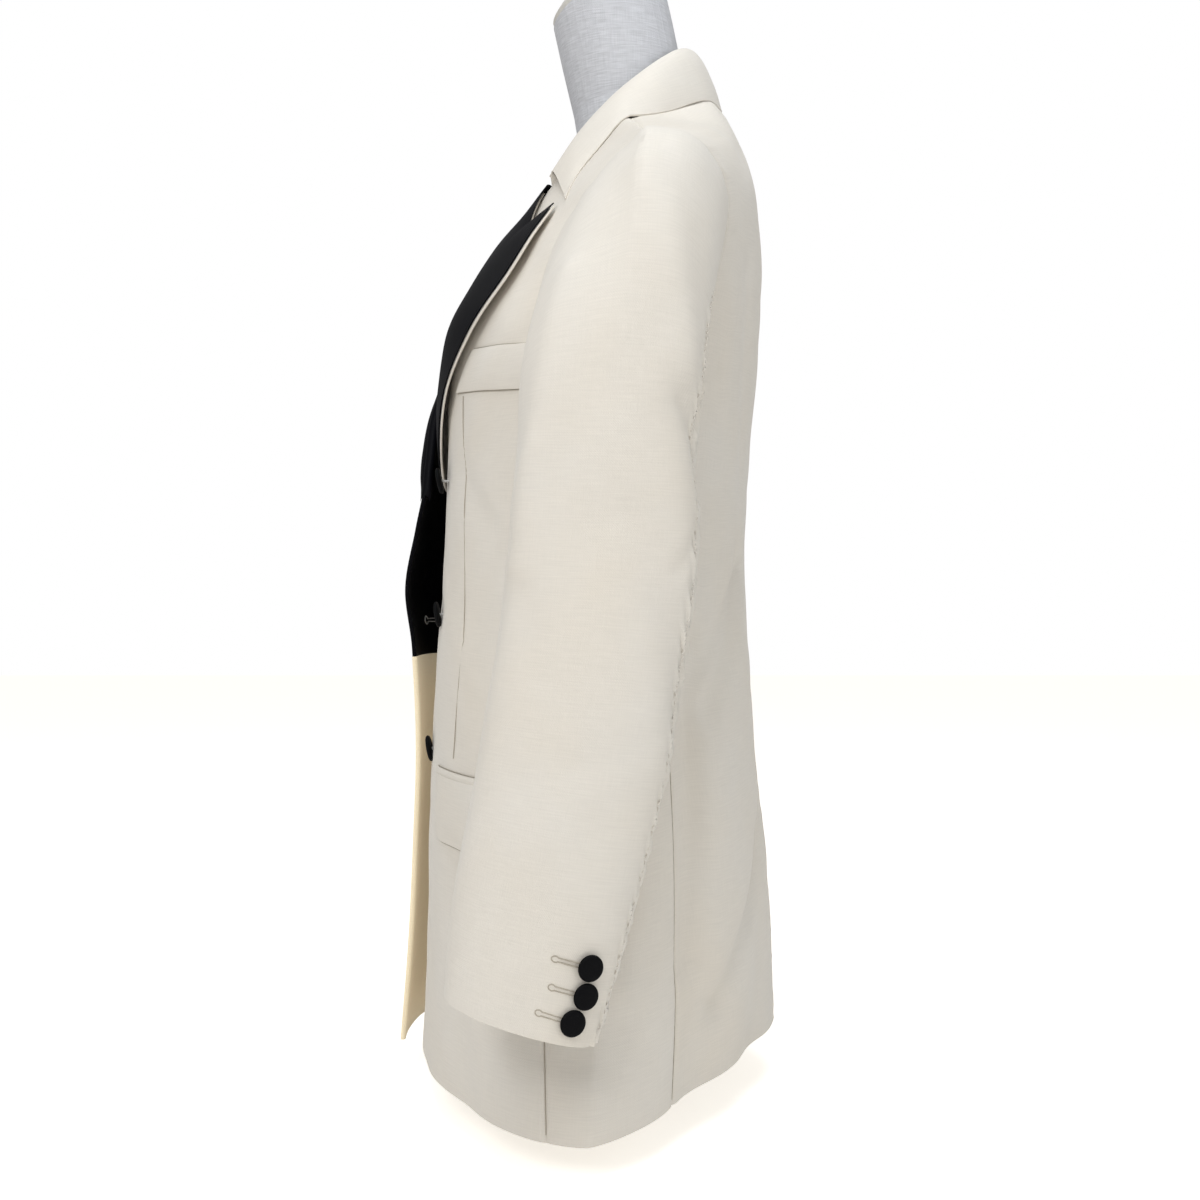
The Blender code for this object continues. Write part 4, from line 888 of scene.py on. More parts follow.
def thread(path: Array, radius: float, closed: bool, sides: int = 6) -> tuple[Array, list]:
    """Round thread carried along a path of points.

    Each ring lies square to the path: its axes are the cross products of the path's direction
    with a fixed way.

    Args:
        path: points along the thread's middle.
        radius: the thread's radius.
        closed: whether the ends join.
        sides: corners of each ring.

    Returns:
        Vertices and faces.
    """
    if closed:
        way = unit(np.roll(path, -1, axis=0) - np.roll(path, 1, axis=0))
    else:
        way = unit(np.gradient(path, axis=0))
    across = unit(np.cross(way, np.array((0.31, 0.17, 0.93))))
    lift = np.cross(across, way)
    turn = np.linspace(0.0, 2.0 * math.pi, sides, endpoint=False)[None, :, None]
    rings = path[:, None] + radius * (np.cos(turn) * across[:, None] + np.sin(turn) * lift[:, None])
    if not closed:
        return lathe(rings)
    index = np.arange(rings.shape[0] * sides).reshape(-1, sides)
    after = np.roll(index, -1, axis=1)
    following = np.roll(index, -1, axis=0)
    following_after = np.roll(after, -1, axis=0)
    cells = np.stack((index, after, following_after, following), axis=-1).reshape(-1, 4)
    return rings.reshape(-1, 3), cells.tolist()


def lies(piece: Piece, nodes: tuple[str, ...] = ()) -> Piece:
    """Fix a piece to the form and hide the solids it stands for."""
    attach(piece, "root")
    if nodes:
        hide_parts(*nodes)
    return piece


def strand(name: str, path: Array, closed: bool, radius: float, finish: Material) -> None:
    """A piece of thread on the coat.

    Args:
        name: its name.
        path: points along its middle.
        closed: whether its ends meet.
        radius: its radius.
        finish: its material.
    """
    points, faces = thread(path, radius, closed)
    piece = make_object(name, points, faces, points[:, (1, 2)], (finish,))
    lies(piece)


def declare_cloth(piece: Piece, grid: Array) -> None:
    """Log a sheet's cut size: longest row, longest column and its own flat area.

    Args:
        piece: the sheet.
        grid: grid of its face.
    """
    width = float(np.linalg.norm(np.diff(grid, axis=1), axis=-1).sum(axis=1).max())
    length = float(np.linalg.norm(np.diff(grid, axis=0), axis=-1).sum(axis=0).max())
    one = grid[1:, 1:] - grid[:-1, :-1]
    two = grid[1:, :-1] - grid[:-1, 1:]
    area = float(0.5 * np.linalg.norm(np.cross(one, two), axis=-1).sum())
    area = min(max(area, 0.301 * width * length), width * length)
    LOG.info("%s: sheet %.3f by %.3f m, %.4f m2", piece.name, width, length, area)


# ---------------------------------------------------------------- finishes
def new_group(name: str, inputs: tuple[tuple[str, str, float], ...],
              outputs: tuple[tuple[str, str], ...]) -> bpy.types.NodeTree:
    """Make an empty shader group with named sockets.

    Args:
        name: the group's name.
        inputs: name, socket type and default of each input.
        outputs: name and socket type of each output.

    Returns:
        The group, with its input and output nodes in place.
    """
    group = bpy.data.node_groups.new(name, "ShaderNodeTree")
    for label, kind, default in inputs:
        socket = group.interface.new_socket(label, in_out="INPUT", socket_type=kind)
        if kind == "NodeSocketFloat":
            socket.default_value = default
    for label, kind in outputs:
        group.interface.new_socket(label, in_out="OUTPUT", socket_type=kind)
    group.nodes.new("NodeGroupInput")
    group.nodes.new("NodeGroupOutput")
    return group


@dataclass(frozen=True)
class NodeMaker:
    """Short calls that add and join the nodes of one tree."""

    tree: bpy.types.NodeTree

    def math(self, operation: str, *values: object) -> Socket:
        """Add a Math node.

        Args:
            operation: Blender's name of the operation.
            values: sockets or numbers for its inputs.

        Returns:
            Its output.
        """
        node = self.tree.nodes.new("ShaderNodeMath")
        node.operation = operation
        self.feed(node, values)
        return node.outputs[0]

    def scaled(self, vector: Socket, factors: Triple) -> Socket:
        """Vector times a fixed factor in each axis."""
        node = self.tree.nodes.new("ShaderNodeVectorMath")
        node.operation = "MULTIPLY"
        self.tree.links.new(vector, node.inputs[0])
        node.inputs[1].default_value = factors
        return node.outputs[0]

    def noise(self, vector: Socket, scale: float, detail: float) -> Socket:
        """Noise between 0 and 1 at a scale."""
        node = self.tree.nodes.new("ShaderNodeTexNoise")
        self.tree.links.new(vector, node.inputs["Vector"])
        node.inputs["Scale"].default_value = scale
        node.inputs["Detail"].default_value = detail
        return node.outputs["Fac"]

    def spread(self, value: Socket, low: float, high: float,
               to_low: float, to_high: float) -> Socket:
        """Map a value's range onto another, held at its ends."""
        node = self.tree.nodes.new("ShaderNodeMapRange")
        self.feed(node, (value, low, high, to_low, to_high))
        return node.outputs[0]

    def blend(self, factor: object, first: object, second: object) -> Socket:
        """Mix two colours by a factor."""
        node = self.tree.nodes.new("ShaderNodeMix")
        node.data_type = "RGBA"
        for place, value in ((0, factor), (6, first), (7, second)):
            if isinstance(value, Socket):
                self.tree.links.new(value, node.inputs[place])
            else:
                node.inputs[place].default_value = value
        return node.outputs[2]

    def tint(self, colour: Socket, value: Socket) -> Socket:
        """Colour with its brightness multiplied by a value."""
        node = self.tree.nodes.new("ShaderNodeHueSaturation")
        self.tree.links.new(colour, node.inputs["Color"])
        self.tree.links.new(value, node.inputs["Value"])
        return node.outputs[0]

    def feed(self, node: bpy.types.Node, values: tuple) -> None:
        """Join sockets, or set numbers, on a node's inputs in order."""
        for place, value in enumerate(values):
            if isinstance(value, Socket):
                self.tree.links.new(value, node.inputs[place])
            else:
                node.inputs[place].default_value = value


def woven_group(weave: Weave) -> bpy.types.NodeTree:
    """Shader group of a cloth's threads, on a vector in metres.

    Plain weave: the height is the product of a sine across and a sine up, so threads pass over
    and under; slubs are noise stretched along each thread way. Satin: long floats, a sine of
    the diagonal. Outputs are a height and a tone, both between 0 and 1, and a broad patchiness.

    Args:
        weave: how the threads cross.

    Returns:
        The group.
    """
    group = new_group(
        f"threads_{weave.value}",
        (("Vector", "NodeSocketVector", 0.0), ("Threads", "NodeSocketFloat", 1200.0)),
        (("Height", "NodeSocketFloat"), ("Tone", "NodeSocketFloat"), ("Patch", "NodeSocketFloat")))
    make = NodeMaker(group)
    source = group.nodes["Group Input"]
    target = group.nodes["Group Output"]
    parts = group.nodes.new("ShaderNodeSeparateXYZ")
    group.links.new(source.outputs["Vector"], parts.inputs[0])
    turns = make.math("MULTIPLY", source.outputs["Threads"], math.pi)
    across = make.math("MULTIPLY", parts.outputs[0], turns)
    up = make.math("MULTIPLY", parts.outputs[1], turns)
    if weave is Weave.PLAIN:
        product = make.math("MULTIPLY", make.math("SINE", across), make.math("SINE", up))
    else:
        product = make.math("SINE", make.math("ADD", across, make.math("MULTIPLY", up, 0.62)))
    height = make.math("MULTIPLY_ADD", product, 0.5, 0.5)
    weft = make.noise(make.scaled(source.outputs["Vector"], (48.0, 1050.0, 1.0)), 1.0, 3.0)
    warp = make.noise(make.scaled(source.outputs["Vector"], (1300.0, 60.0, 1.0)), 1.0, 2.0)
    slub = make.math("MULTIPLY_ADD", warp, 0.35, make.math("MULTIPLY", weft, 0.65))
    patch = make.noise(make.scaled(source.outputs["Vector"], (7.0, 5.0, 1.0)), 1.0, 4.0)
    total = make.math("MULTIPLY_ADD", slub, 0.6, make.math("MULTIPLY", height, 0.4))
    group.links.new(total, target.inputs["Height"])
    group.links.new(make.spread(slub, 0.3, 0.7, 0.0, 1.0), target.inputs["Tone"])
    group.links.new(make.spread(patch, 0.3, 0.7, 0.0, 1.0), target.inputs["Patch"])
    return group


@dataclass(frozen=True)
class ClothFinish:
    """Woven cloth: two tones that drift into each other, threads in relief, a soft sheen, and where set a
    painted glow.
    """

    name: str
    tone: Triple
    second_tone: Triple
    weave: Weave = Weave.PLAIN
    threads: float = 1300.0
    thread_contrast: float = 0.06
    relief: float = 0.00012
    roughness: float = 0.85
    sheen: float = 0.2
    anisotropy: float = 0.0
    specular: float = 0.3
    # glow: emission strength in the cloth's own tone; painted light, since the cloth is no lamp
    glow: float = 0.0

    def material(self, groups: dict[Weave, bpy.types.NodeTree]) -> Material:
        """Build the material.

        Args:
            groups: the thread groups by weave.

        Returns:
            The material.
        """
        made = bpy.data.materials.new(self.name)
        made.use_nodes = True
        tree = made.node_tree
        make = NodeMaker(tree)
        shader = tree.nodes["Principled BSDF"]
        place = tree.nodes.new("ShaderNodeUVMap")
        place.uv_map = "UVMap"
        woven = tree.nodes.new("ShaderNodeGroup")
        woven.node_tree = groups[self.weave]
        tree.links.new(place.outputs[0], woven.inputs["Vector"])
        woven.inputs["Threads"].default_value = self.threads
        colour = make.blend(woven.outputs["Patch"], (*self.tone, 1.0), (*self.second_tone, 1.0))
        low, high = 1.0 - self.thread_contrast, 1.0 + self.thread_contrast
        value = make.spread(woven.outputs["Tone"], 0.0, 1.0, low, high)
        tree.links.new(make.tint(colour, value), shader.inputs["Base Color"])
        rough = make.spread(woven.outputs["Tone"], 0.0, 1.0, self.roughness - 0.04, self.roughness + 0.04)
        tree.links.new(rough, shader.inputs["Roughness"])
        bump = tree.nodes.new("ShaderNodeBump")
        bump.inputs["Distance"].default_value = self.relief
        tree.links.new(woven.outputs["Height"], bump.inputs["Height"])
        tree.links.new(bump.outputs[0], shader.inputs["Normal"])
        shader.inputs["Sheen Weight"].default_value = self.sheen
        shader.inputs["Sheen Roughness"].default_value = 0.45
        shader.inputs["Anisotropic"].default_value = self.anisotropy
        shader.inputs["Specular IOR Level"].default_value = self.specular
        # Painted light: the cloth glows in its own tone.
        if self.glow > 0.0:
            shader.inputs["Emission Color"].default_value = (*self.tone, 1.0)
            shader.inputs["Emission Strength"].default_value = self.glow
        return made


@dataclass(frozen=True)
class SolidFinish:
    """Smooth hard finish with fine streaks or grain in its roughness."""

    name: str
    tone: Triple
    roughness: float
    metallic: float
    stretch: Triple = (60.0, 60.0, 60.0)

    def material(self) -> Material:
        """Build the material on object coordinates."""
        made = bpy.data.materials.new(self.name)
        made.use_nodes = True
        tree = made.node_tree
        make = NodeMaker(tree)
        shader = tree.nodes["Principled BSDF"]
        place = tree.nodes.new("ShaderNodeTexCoord")
        grain = make.noise(make.scaled(place.outputs["Object"], self.stretch), 1.0, 4.0)
        darker = tuple(part * 0.86 for part in self.tone)
        tree.links.new(make.blend(grain, (*darker, 1.0), (*self.tone, 1.0)), shader.inputs["Base Color"])
        rough = make.spread(grain, 0.2, 0.8, self.roughness - 0.06, self.roughness + 0.06)
        tree.links.new(rough, shader.inputs["Roughness"])
        shader.inputs["Metallic"].default_value = self.metallic
        return made


@dataclass
class Wardrobe:
    """Every finish of the model, built once."""

    suiting: Material
    lining: Material
    satin: Material
    button: Material
    thread: Material
    linen: Material
    facing: Material
    seam: Material
    cap: Material
    steel: Material

    @classmethod
    def make(cls) -> "Wardrobe":
        """Build the finishes of coat and form."""
        groups = {weave: woven_group(weave) for weave in Weave}
        ivory = ClothFinish("ivory_suiting", (0.718, 0.684, 0.63), (0.706, 0.652, 0.57),
                            Weave.PLAIN, 1300.0, 0.045, 0.00014)
        lining = ClothFinish("ivory_lining", (0.7, 0.61, 0.45), (0.66, 0.56, 0.4), Weave.SATIN,
                             1800.0, 0.03, 0.00004, 0.5, 0.15, 0.3, 0.4)
        satin = ClothFinish("black_satin", (0.0034, 0.0034, 0.0048), (0.0026, 0.0026, 0.0038), Weave.SATIN,
                            1700.0, 0.12, 0.00005, 0.46, 0.0, 0.4, 0.05)
        button = ClothFinish("button_satin", (0.0044, 0.0044, 0.005), (0.0032, 0.0032, 0.0038), Weave.PLAIN,
                             1500.0, 0.2, 0.0001, 0.6, 0.0, 0.0, 0.06)
        # Painted light: the facing is cut from the suiting, and its brighter, warmer tone and its glow paint
        # light that shines through the thin front onto it.
        inside = ClothFinish("ivory_facing", (0.87, 0.76, 0.56), (0.85, 0.73, 0.52),
                             Weave.PLAIN, 1300.0, 0.045, 0.00014, glow=0.16)
        white = ClothFinish("buttonhole_thread", (0.62, 0.62, 0.61), (0.56, 0.56, 0.55), Weave.PLAIN,
                            2400.0, 0.1, 0.0001, 0.6, 0.3)
        # Seam tone, darker than the cloth: painted shade of the seam, dart and pocket lines, where it also
        # marks the sewn line and edge stitches; the cuff buttonholes use it too.
        seam = ClothFinish("seam_thread", (0.43, 0.385, 0.315), (0.38, 0.338, 0.272), Weave.PLAIN,
                           2400.0, 0.1, 0.00006, 0.8, 0.1)
        linen = ClothFinish("form_linen", (0.56, 0.565, 0.59), (0.51, 0.515, 0.545), Weave.PLAIN,
                            900.0, 0.2, 0.00022, 0.9, 0.1)
        return cls(
            suiting=ivory.material(groups), lining=lining.material(groups),
            satin=satin.material(groups), button=button.material(groups),
            thread=white.material(groups), linen=linen.material(groups),
            cap=SolidFinish("form_cap_board", (0.66, 0.64, 0.6), 0.6, 0.0).material(),
            facing=inside.material(groups), seam=seam.material(groups),
            steel=SolidFinish("brushed_steel", (0.6, 0.6, 0.61), 0.36, 1.0, (12.0, 12.0, 900.0)).material())


# ---------------------------------------------------------------- coat
@dataclass
class CoatBody:
    """Fronts, side bodies and backs, with the lapels and the facings turned from the fronts."""

    body: BodySurface
    wardrobe: Wardrobe
    front_rows: int = 170
    front_columns: int = 84
    side_rows: int = 150
    side_columns: int = 34
    back_rows: int = 170
    back_columns: int = 74
    lapel_rows: int = 84
    lapel_columns: int = 36
    seam_dip: float = 0.0014
    seam_width: float = 0.0022
    seam_thread: float = 0.00032
    unevenness: float = 0.0004
    satin_share: float = 0.975
    under_ends: tuple[float, float] = (0.045, 0.982)
    facing_share: float = 0.52
    facing_split_row: int = 10
    facing_break_row: float = 14.7
    facing_top_row: int = 20
    panel_rows: int = 19
    armhole_rows: int = 10
    facing_grid: tuple[int, int] = (70, 30)
    roll_clear: float = 0.0012
    roll_turn: tuple[float, float, int] = (180.0, 12.0, 9)
    wrap_turn: tuple[float, float, int] = (55.0, 172.0, 8)
    seam_hem: float = 0.034
    seam_top: float = 0.004
    thread_points: int = 160
    dart_points: int = 60
    dart_sunk: float = -0.0003
    seam_sunk: float = 0.0012

    def surface(self, theta: Array, run: Array, side: Side, lift: Array | float,
                seams: tuple[bool, bool, bool, bool], seed: int) -> Grids:
        """Face and back of a panel, with its pressed seams and a faint unevenness.

        Near each seam border the cloth dips by a bell curve of the distance from it, and a
        short ripple along the seam shows where the stitches draw it in.

        Args:
            theta: grid of angles.
            run: grid of runs.
            side: side of the wearer.
            lift: distance off the body surface.
            seams: whether the bottom, right, top and left borders of the grid are seams.
            seed: seed of the unevenness.

        Returns:
            Grids of the face and of the back.
        """
        bare = self.body.point(theta, run, side, lift)
        u, v = grid_lengths(bare)
        to_border = (v, u[:, -1:] - u, v[-1:] - v, u - u[:, :1])
        depth = self.unevenness * waves(u, v, (0.115, 0.074, 0.049), seed)
        along = (u, v, u, v)
        for is_seam, away, length in zip(seams, to_border, along):
            if is_seam:
                near = np.exp(-(away / self.seam_width) ** 2)
                draw = np.exp(-((away - 0.005) / 0.005) ** 2)
                depth = depth - self.seam_dip * near
                depth = depth + 0.00022 * draw * waves(length, away * 0.2, (0.013, 0.0087), seed + 7)
                depth = depth - self.unevenness * waves(u, v, (0.115, 0.074, 0.049), seed) * near
        outer = self.body.point(theta, run, side, lift + depth)
        inner = self.body.point(theta, run, side, lift + depth - CLOTH)
        return outer, inner

    def panel(self, part: str, side: Side, theta: Array, run: Array,
              seams: tuple[bool, bool, bool, bool], seed: int) -> None:
        """One lined panel, as a sheet that hangs on the form.

        Args:
            part: front, side or back.
            side: side of the wearer.
            theta: grid of angles.
            run: grid of runs.
            seams: which of the grid's borders are seams.
            seed: seed of its unevenness.
        """
        outer, inner = self.surface(theta, run, side, 0.0, seams, seed)
        piece = shell(f"coat_{part}_{side.label}", outer, inner, self.wardrobe.suiting, self.wardrobe.lining)
        lies(piece, (f"{part}_{side.label}",))
        declare_cloth(piece, outer)

    def seam_runs(self, underarm: float, rows: int) -> Array:
        """Runs of a panel's rows from hem to ridge, with one row at the underarm."""
        split = float(self.body.run_at_height(underarm))
        low_rows = int(rows * split / self.body.ridge)
        low = np.linspace(0.0, split, low_rows)
        high = np.linspace(split, self.body.ridge, rows - low_rows + 1)
        return np.concatenate((low, high[1:]))

    def front_grid(self, side: Side) -> Grids:
        """Angles and runs of a front, free edge to side seam by hem to shoulder."""
        run = self.seam_runs(FRONT_UNDERARM, self.front_rows)[:, None]
        inner = self.body.edge_angle(side, run[:, 0])[:, None]
        outer = self.body.border(FRONT_BORDER, run)
        dart = 0.7 if side is Side.LEFT else 0.57
        share = crowded(self.front_columns, (dart, 1.0), 0.03, 3.0)[None, :]
        return mix(inner, outer, share), np.broadcast_to(run, (len(run), share.shape[1]))

    def front(self, side: Side) -> None:
        """Front from its free edge to the side seam, armhole and shoulder."""
        theta, run = self.front_grid(side)
        self.panel("front", side, theta, run, (False, True, True, False), 11)

    def side_body(self, side: Side) -> None:
        """Side body from the hem to the bottom of the armhole."""
        share = crowded(self.side_columns, (0.0, 1.0), 0.06, 2.0)[None, :]
        height = smooth(column(UNDERARM, "across"), column(UNDERARM, "height"), share[0])
        top = self.body.run_at_height(height)
        run = np.linspace(0.0, 1.0, self.side_rows)[:, None] * top[None, :]
        theta = mix(self.body.border(FRONT_BORDER, run), self.body.border(BACK_BORDER, run), share)
        self.panel("side", side, theta, run, (False, True, True, True), 23)

    def back(self, side: Side) -> None:
        """Back from the side seam and armhole to the centre back seam."""
        body = self.body
        outer_angle = float(body.border(BACK_BORDER, body.ridge))
        neck_angle = float(body.angle_at(NECK_POINT, body.ridge, False))
        corner = (neck_angle - outer_angle) / (BACK_CENTRE - outer_angle)
        share = crowded(self.back_columns, (0.0, corner, 1.0), 0.03, 2.0)
        top = body.back_neck_run(mix(outer_angle, BACK_CENTRE, share))
        run = self.seam_runs(BACK_UNDERARM, self.back_rows)[:, None] / body.ridge * top[None, :]
        theta = mix(body.border(BACK_BORDER, run), BACK_CENTRE, share[None, :])
        self.panel("back", side, theta, run, (False, True, True, True), 37)

    def lapel_place(self, side: Side, along: Array, share: Array) -> Grids:
        """Distances out and heights on a lapel, from the roll line to its edge.

        Args:
            side: side of the wearer.
            along: shares from the break to the gorge, as a column.
            share: shares from the roll line to the outer edge, as a row.

        Returns:
            Distance out and height grids; the top edge dips in to the notch.
        """
        roll = [point for point in EDGES[side][BREAK_ROW[side]:] if point.height <= GORGE_HEIGHT]
        outline = LAPELS[side]
        roll_share = np.linspace(0.0, 1.0, len(roll))
        edge_share = np.linspace(0.0, 1.0, len(outline))
        parts = []
        for name in ("across", "height"):
            roll_value = smooth(roll_share, column(roll, name), along)
            edge_value = smooth(edge_share, column(outline, name), along)
            straight = mix(getattr(roll[-1], name), getattr(outline[-1], name), NOTCH_SHARE)
            dip = getattr(NOTCH, name) - straight
            weight = np.minimum(share / NOTCH_SHARE, (1.0 - share) / (1.0 - NOTCH_SHARE))
            fade = np.clip(1.0 - (1.0 - along) / NOTCH_FADE, 0.0, 1.0) ** 1.5
            parts.append(mix(roll_value, edge_value, np.clip(share, 0.0, 1.0)) + dip * weight * fade)
        return parts[0], parts[1]

    def lapel_grid(self, side: Side, share: Array, lift: float,
                   ends: tuple[float, float] = (0.0, 1.0)) -> Array:
        """Grid on a lapel, a lift off the front; it stands away between its edges by a sine."""
        along = np.linspace(*ends, self.lapel_rows)[:, None]
        across, height = self.lapel_place(side, along, share[None, :])
        across = across + LAPEL_SPREAD * share[None, :] ** 2 * np.sin(math.pi * along)
        run = self.body.run_at_point(across, height, side)
        calm = smoothstep(0.0, 0.2, along) * (1.0 - 0.75 * smoothstep(0.8, 1.0, along))
        stand = LAPEL_LIFT * np.sin(math.pi * share[None, :] ** 0.8) * calm
        stand = stand + LAPEL_EDGE_LIFT * share[None, :] ** 3 * np.sin(math.pi * along ** 1.3) ** 0.7
        theta = self.body.angle_at(across, run, True)
        level = lift * mix(0.35, 1.0, smoothstep(0.0, 0.12, along))
        return self.body.point(theta, run, side, level + stand)

    def lapel(self, side: Side) -> None:
        """Cream under layer of a lapel, then the satin that turns over the roll line."""
        share = crowded(self.lapel_columns, (1.0,), 0.05, 2.0)
        low = 2.0 * GAP
        under_outer = self.lapel_grid(side, share, low + CLOTH, self.under_ends)
        under_inner = self.lapel_grid(side, share, low, self.under_ends)
        under = shell(f"lapel_cream_{side.label}", under_outer, under_inner, self.wardrobe.suiting)
        lies(under, (f"lapel_under_{side.label}",))
        declare_cloth(under, under_outer)
        high = low + CLOTH + 2.0 * GAP + SATIN
        satin_outer = self.lapel_grid(side, share * self.satin_share, high)
        satin_inner = self.lapel_grid(side, share * self.satin_share, high - SATIN)
        roll_outer, roll_inner = self.roll(satin_outer, satin_inner, high)
        outer = np.concatenate((roll_outer, satin_outer), axis=1)
        inner = np.concatenate((roll_inner, satin_inner), axis=1)
        satin = shell(f"lapel_satin_facing_{side.label}", outer, inner, self.wardrobe.satin)
        lies(satin, (f"lapel_satin_{side.label}",))
        declare_cloth(satin, outer)

    def roll(self, outer: Array, inner: Array, high: float) -> Grids:
        """Half turn of the satin round the front's edge along the roll line.

        Each row continues its lapel row round a half circle: the direction away from the lapel
        times the sine, and the face's normal times the cosine, of an angle from 180 to 0.

        Args:
            outer: face grid of the lapel's satin.
            inner: back grid of the same.
            high: how far the face lies off the front.

        Returns:
            Face and back grids of the turn, to go before the lapel's own columns.
        """
        away = unit(outer[:, :1] - outer[:, 1:2])
        up = unit(outer[:, :1] - inner[:, :1])
        away = unit(away - up * (away * up).sum(axis=-1, keepdims=True))
        radius = 0.5 * (high + CLOTH) + self.roll_clear
        turn = np.radians(np.linspace(*self.roll_turn))[None, :, None]
        centre = outer[:, :1] - up * radius
        face = centre + radius * (np.sin(turn) * away + np.cos(turn) * up)
        thin = radius - SATIN
        back = centre + thin * (np.sin(turn) * away + np.cos(turn) * up)
        return face, back

    def facing(self, name: str, rows: tuple[float, float], thick: float, finish: Material,
               slot: str, wraps: bool, nodes: tuple[str, ...]) -> None:
        """Layer inside the right front between two of the panel's rows, turned round its edge.

        Args:
            name: the piece's name.
            rows: first and last row, counted as the panel's cut is marked.
            thick: thickness of the layer.
            finish: its material.
            slot: not used.
            wraps: whether it turns round the edge; above the break the lapel's own roll does.
            nodes: the solids that it stands for.
        """
        body = self.body
        marked = np.concatenate((
            np.linspace(0.0, body.run_at_height(FRONT_UNDERARM), self.panel_rows),
            np.linspace(body.run_at_height(FRONT_UNDERARM), body.ridge, self.armhole_rows)[1:]))
        ends = np.interp(rows, np.arange(len(marked)), marked)
        run = np.linspace(ends[0], ends[1], self.facing_grid[0])[:, None]
        inner_angle = body.edge_angle(Side.RIGHT, run[:, 0])[:, None]
        share = np.linspace(0.0, self.facing_share, self.facing_grid[1])[None, :]
        theta = mix(inner_angle, body.border(FRONT_BORDER, run), share)
        run = np.broadcast_to(run, theta.shape)
        lift = -CLOTH - GAP
        outer = body.point(theta, run, Side.RIGHT, lift - thick)
        inner = body.point(theta, run, Side.RIGHT, lift)
        if wraps:
            face, back = self.turned_edge(theta, run, thick)
            outer = np.concatenate((face, outer), axis=1)
            inner = np.concatenate((back, inner), axis=1)
        piece = shell(name, outer, inner, finish)
        lies(piece, nodes)
        declare_cloth(piece, outer)

    def turned_edge(self, theta: Array, run: Array, thick: float) -> Grids:
        """Part of a circle round the right front's edge, from its face side to its inside.

        Args:
            theta: grid of angles of the layer that it continues.
            run: grid of its runs.
            thick: thickness of the layer.

        Returns:
            Face and back grids of the turn.
        """
        body = self.body
        middle = body.point(theta[:, :2], run[:, :2], Side.RIGHT, -0.5 * CLOTH)
        up = unit(body.point(theta[:, :1], run[:, :1], Side.RIGHT, 0.0) - middle[:, :1])
        away = unit(middle[:, :1] - middle[:, 1:])
        away = unit(away - up * (away * up).sum(axis=-1, keepdims=True))
        turn = np.radians(np.linspace(*self.wrap_turn))[None, :, None]
        round_edge = np.sin(turn) * away + np.cos(turn) * up
        face = middle[:, :1] + (0.5 * CLOTH + GAP + thick) * round_edge
        back = middle[:, :1] + (0.5 * CLOTH + GAP) * round_edge
        return face, back

    def seam_lines(self, side: Side) -> None:
        """Sewn lines of dart and side seams: a dark strand that lies low in each seam's valley and marks the
        seam line; its dark tone is painted shade, the shadow in the seam.

        Args:
            side: side of the wearer.
        """
        body = self.body
        for place, one in enumerate(DART, start=1):
            step = np.linspace(0.0, 1.0, self.dart_points)
            theta = np.radians(mix(one.degrees_a, one.degrees_b, step))
            run = body.run_at_height(mix(one.height_a, one.height_b, step))
            self.sewn(f"dart_line_{side.label}_{place}", theta, run, side, self.dart_sunk)
        for label, table, top in (("front", FRONT_BORDER, FRONT_UNDERARM),
                                  ("back", BACK_BORDER, BACK_UNDERARM)):
            run = body.run_at_height(np.linspace(self.seam_hem, top - self.seam_top, self.thread_points))
            self.sewn(f"side_seam_{label}_{side.label}", body.border(table, run), run, side, self.seam_sunk)

    def sewn(self, name: str, theta: Array, run: Array, side: Side, sunk: float) -> None:
        """Strand along a line of the panels, its middle below the cloth's face by a given depth; its dark tone
        paints the line's shade.
        """
        path = self.body.point(theta, run, side, -sunk)
        strand(name, path, False, self.seam_thread, self.wardrobe.seam)

    def build(self) -> None:
        """Build both sides of the body and what is turned from it."""
        for side in Side:
            self.front(side)
            self.side_body(side)
            self.back(side)
            self.lapel(side)
            self.seam_lines(side)
        self.facing("facing_satin_inside", (self.facing_split_row, self.facing_break_row), SATIN,
                    self.wardrobe.satin, "satin", True, ("facing_satin_right",))
        self.facing("facing_satin_above_break", (self.facing_break_row, self.facing_top_row), SATIN,
                    self.wardrobe.satin, "satin", False, ())
        # Its finish paints light shining through the front onto the cream facing.
        self.facing("facing_cream_inside", (0, self.facing_split_row), CLOTH,
                    self.wardrobe.facing, "suiting", True, ("facing_cloth_right",))


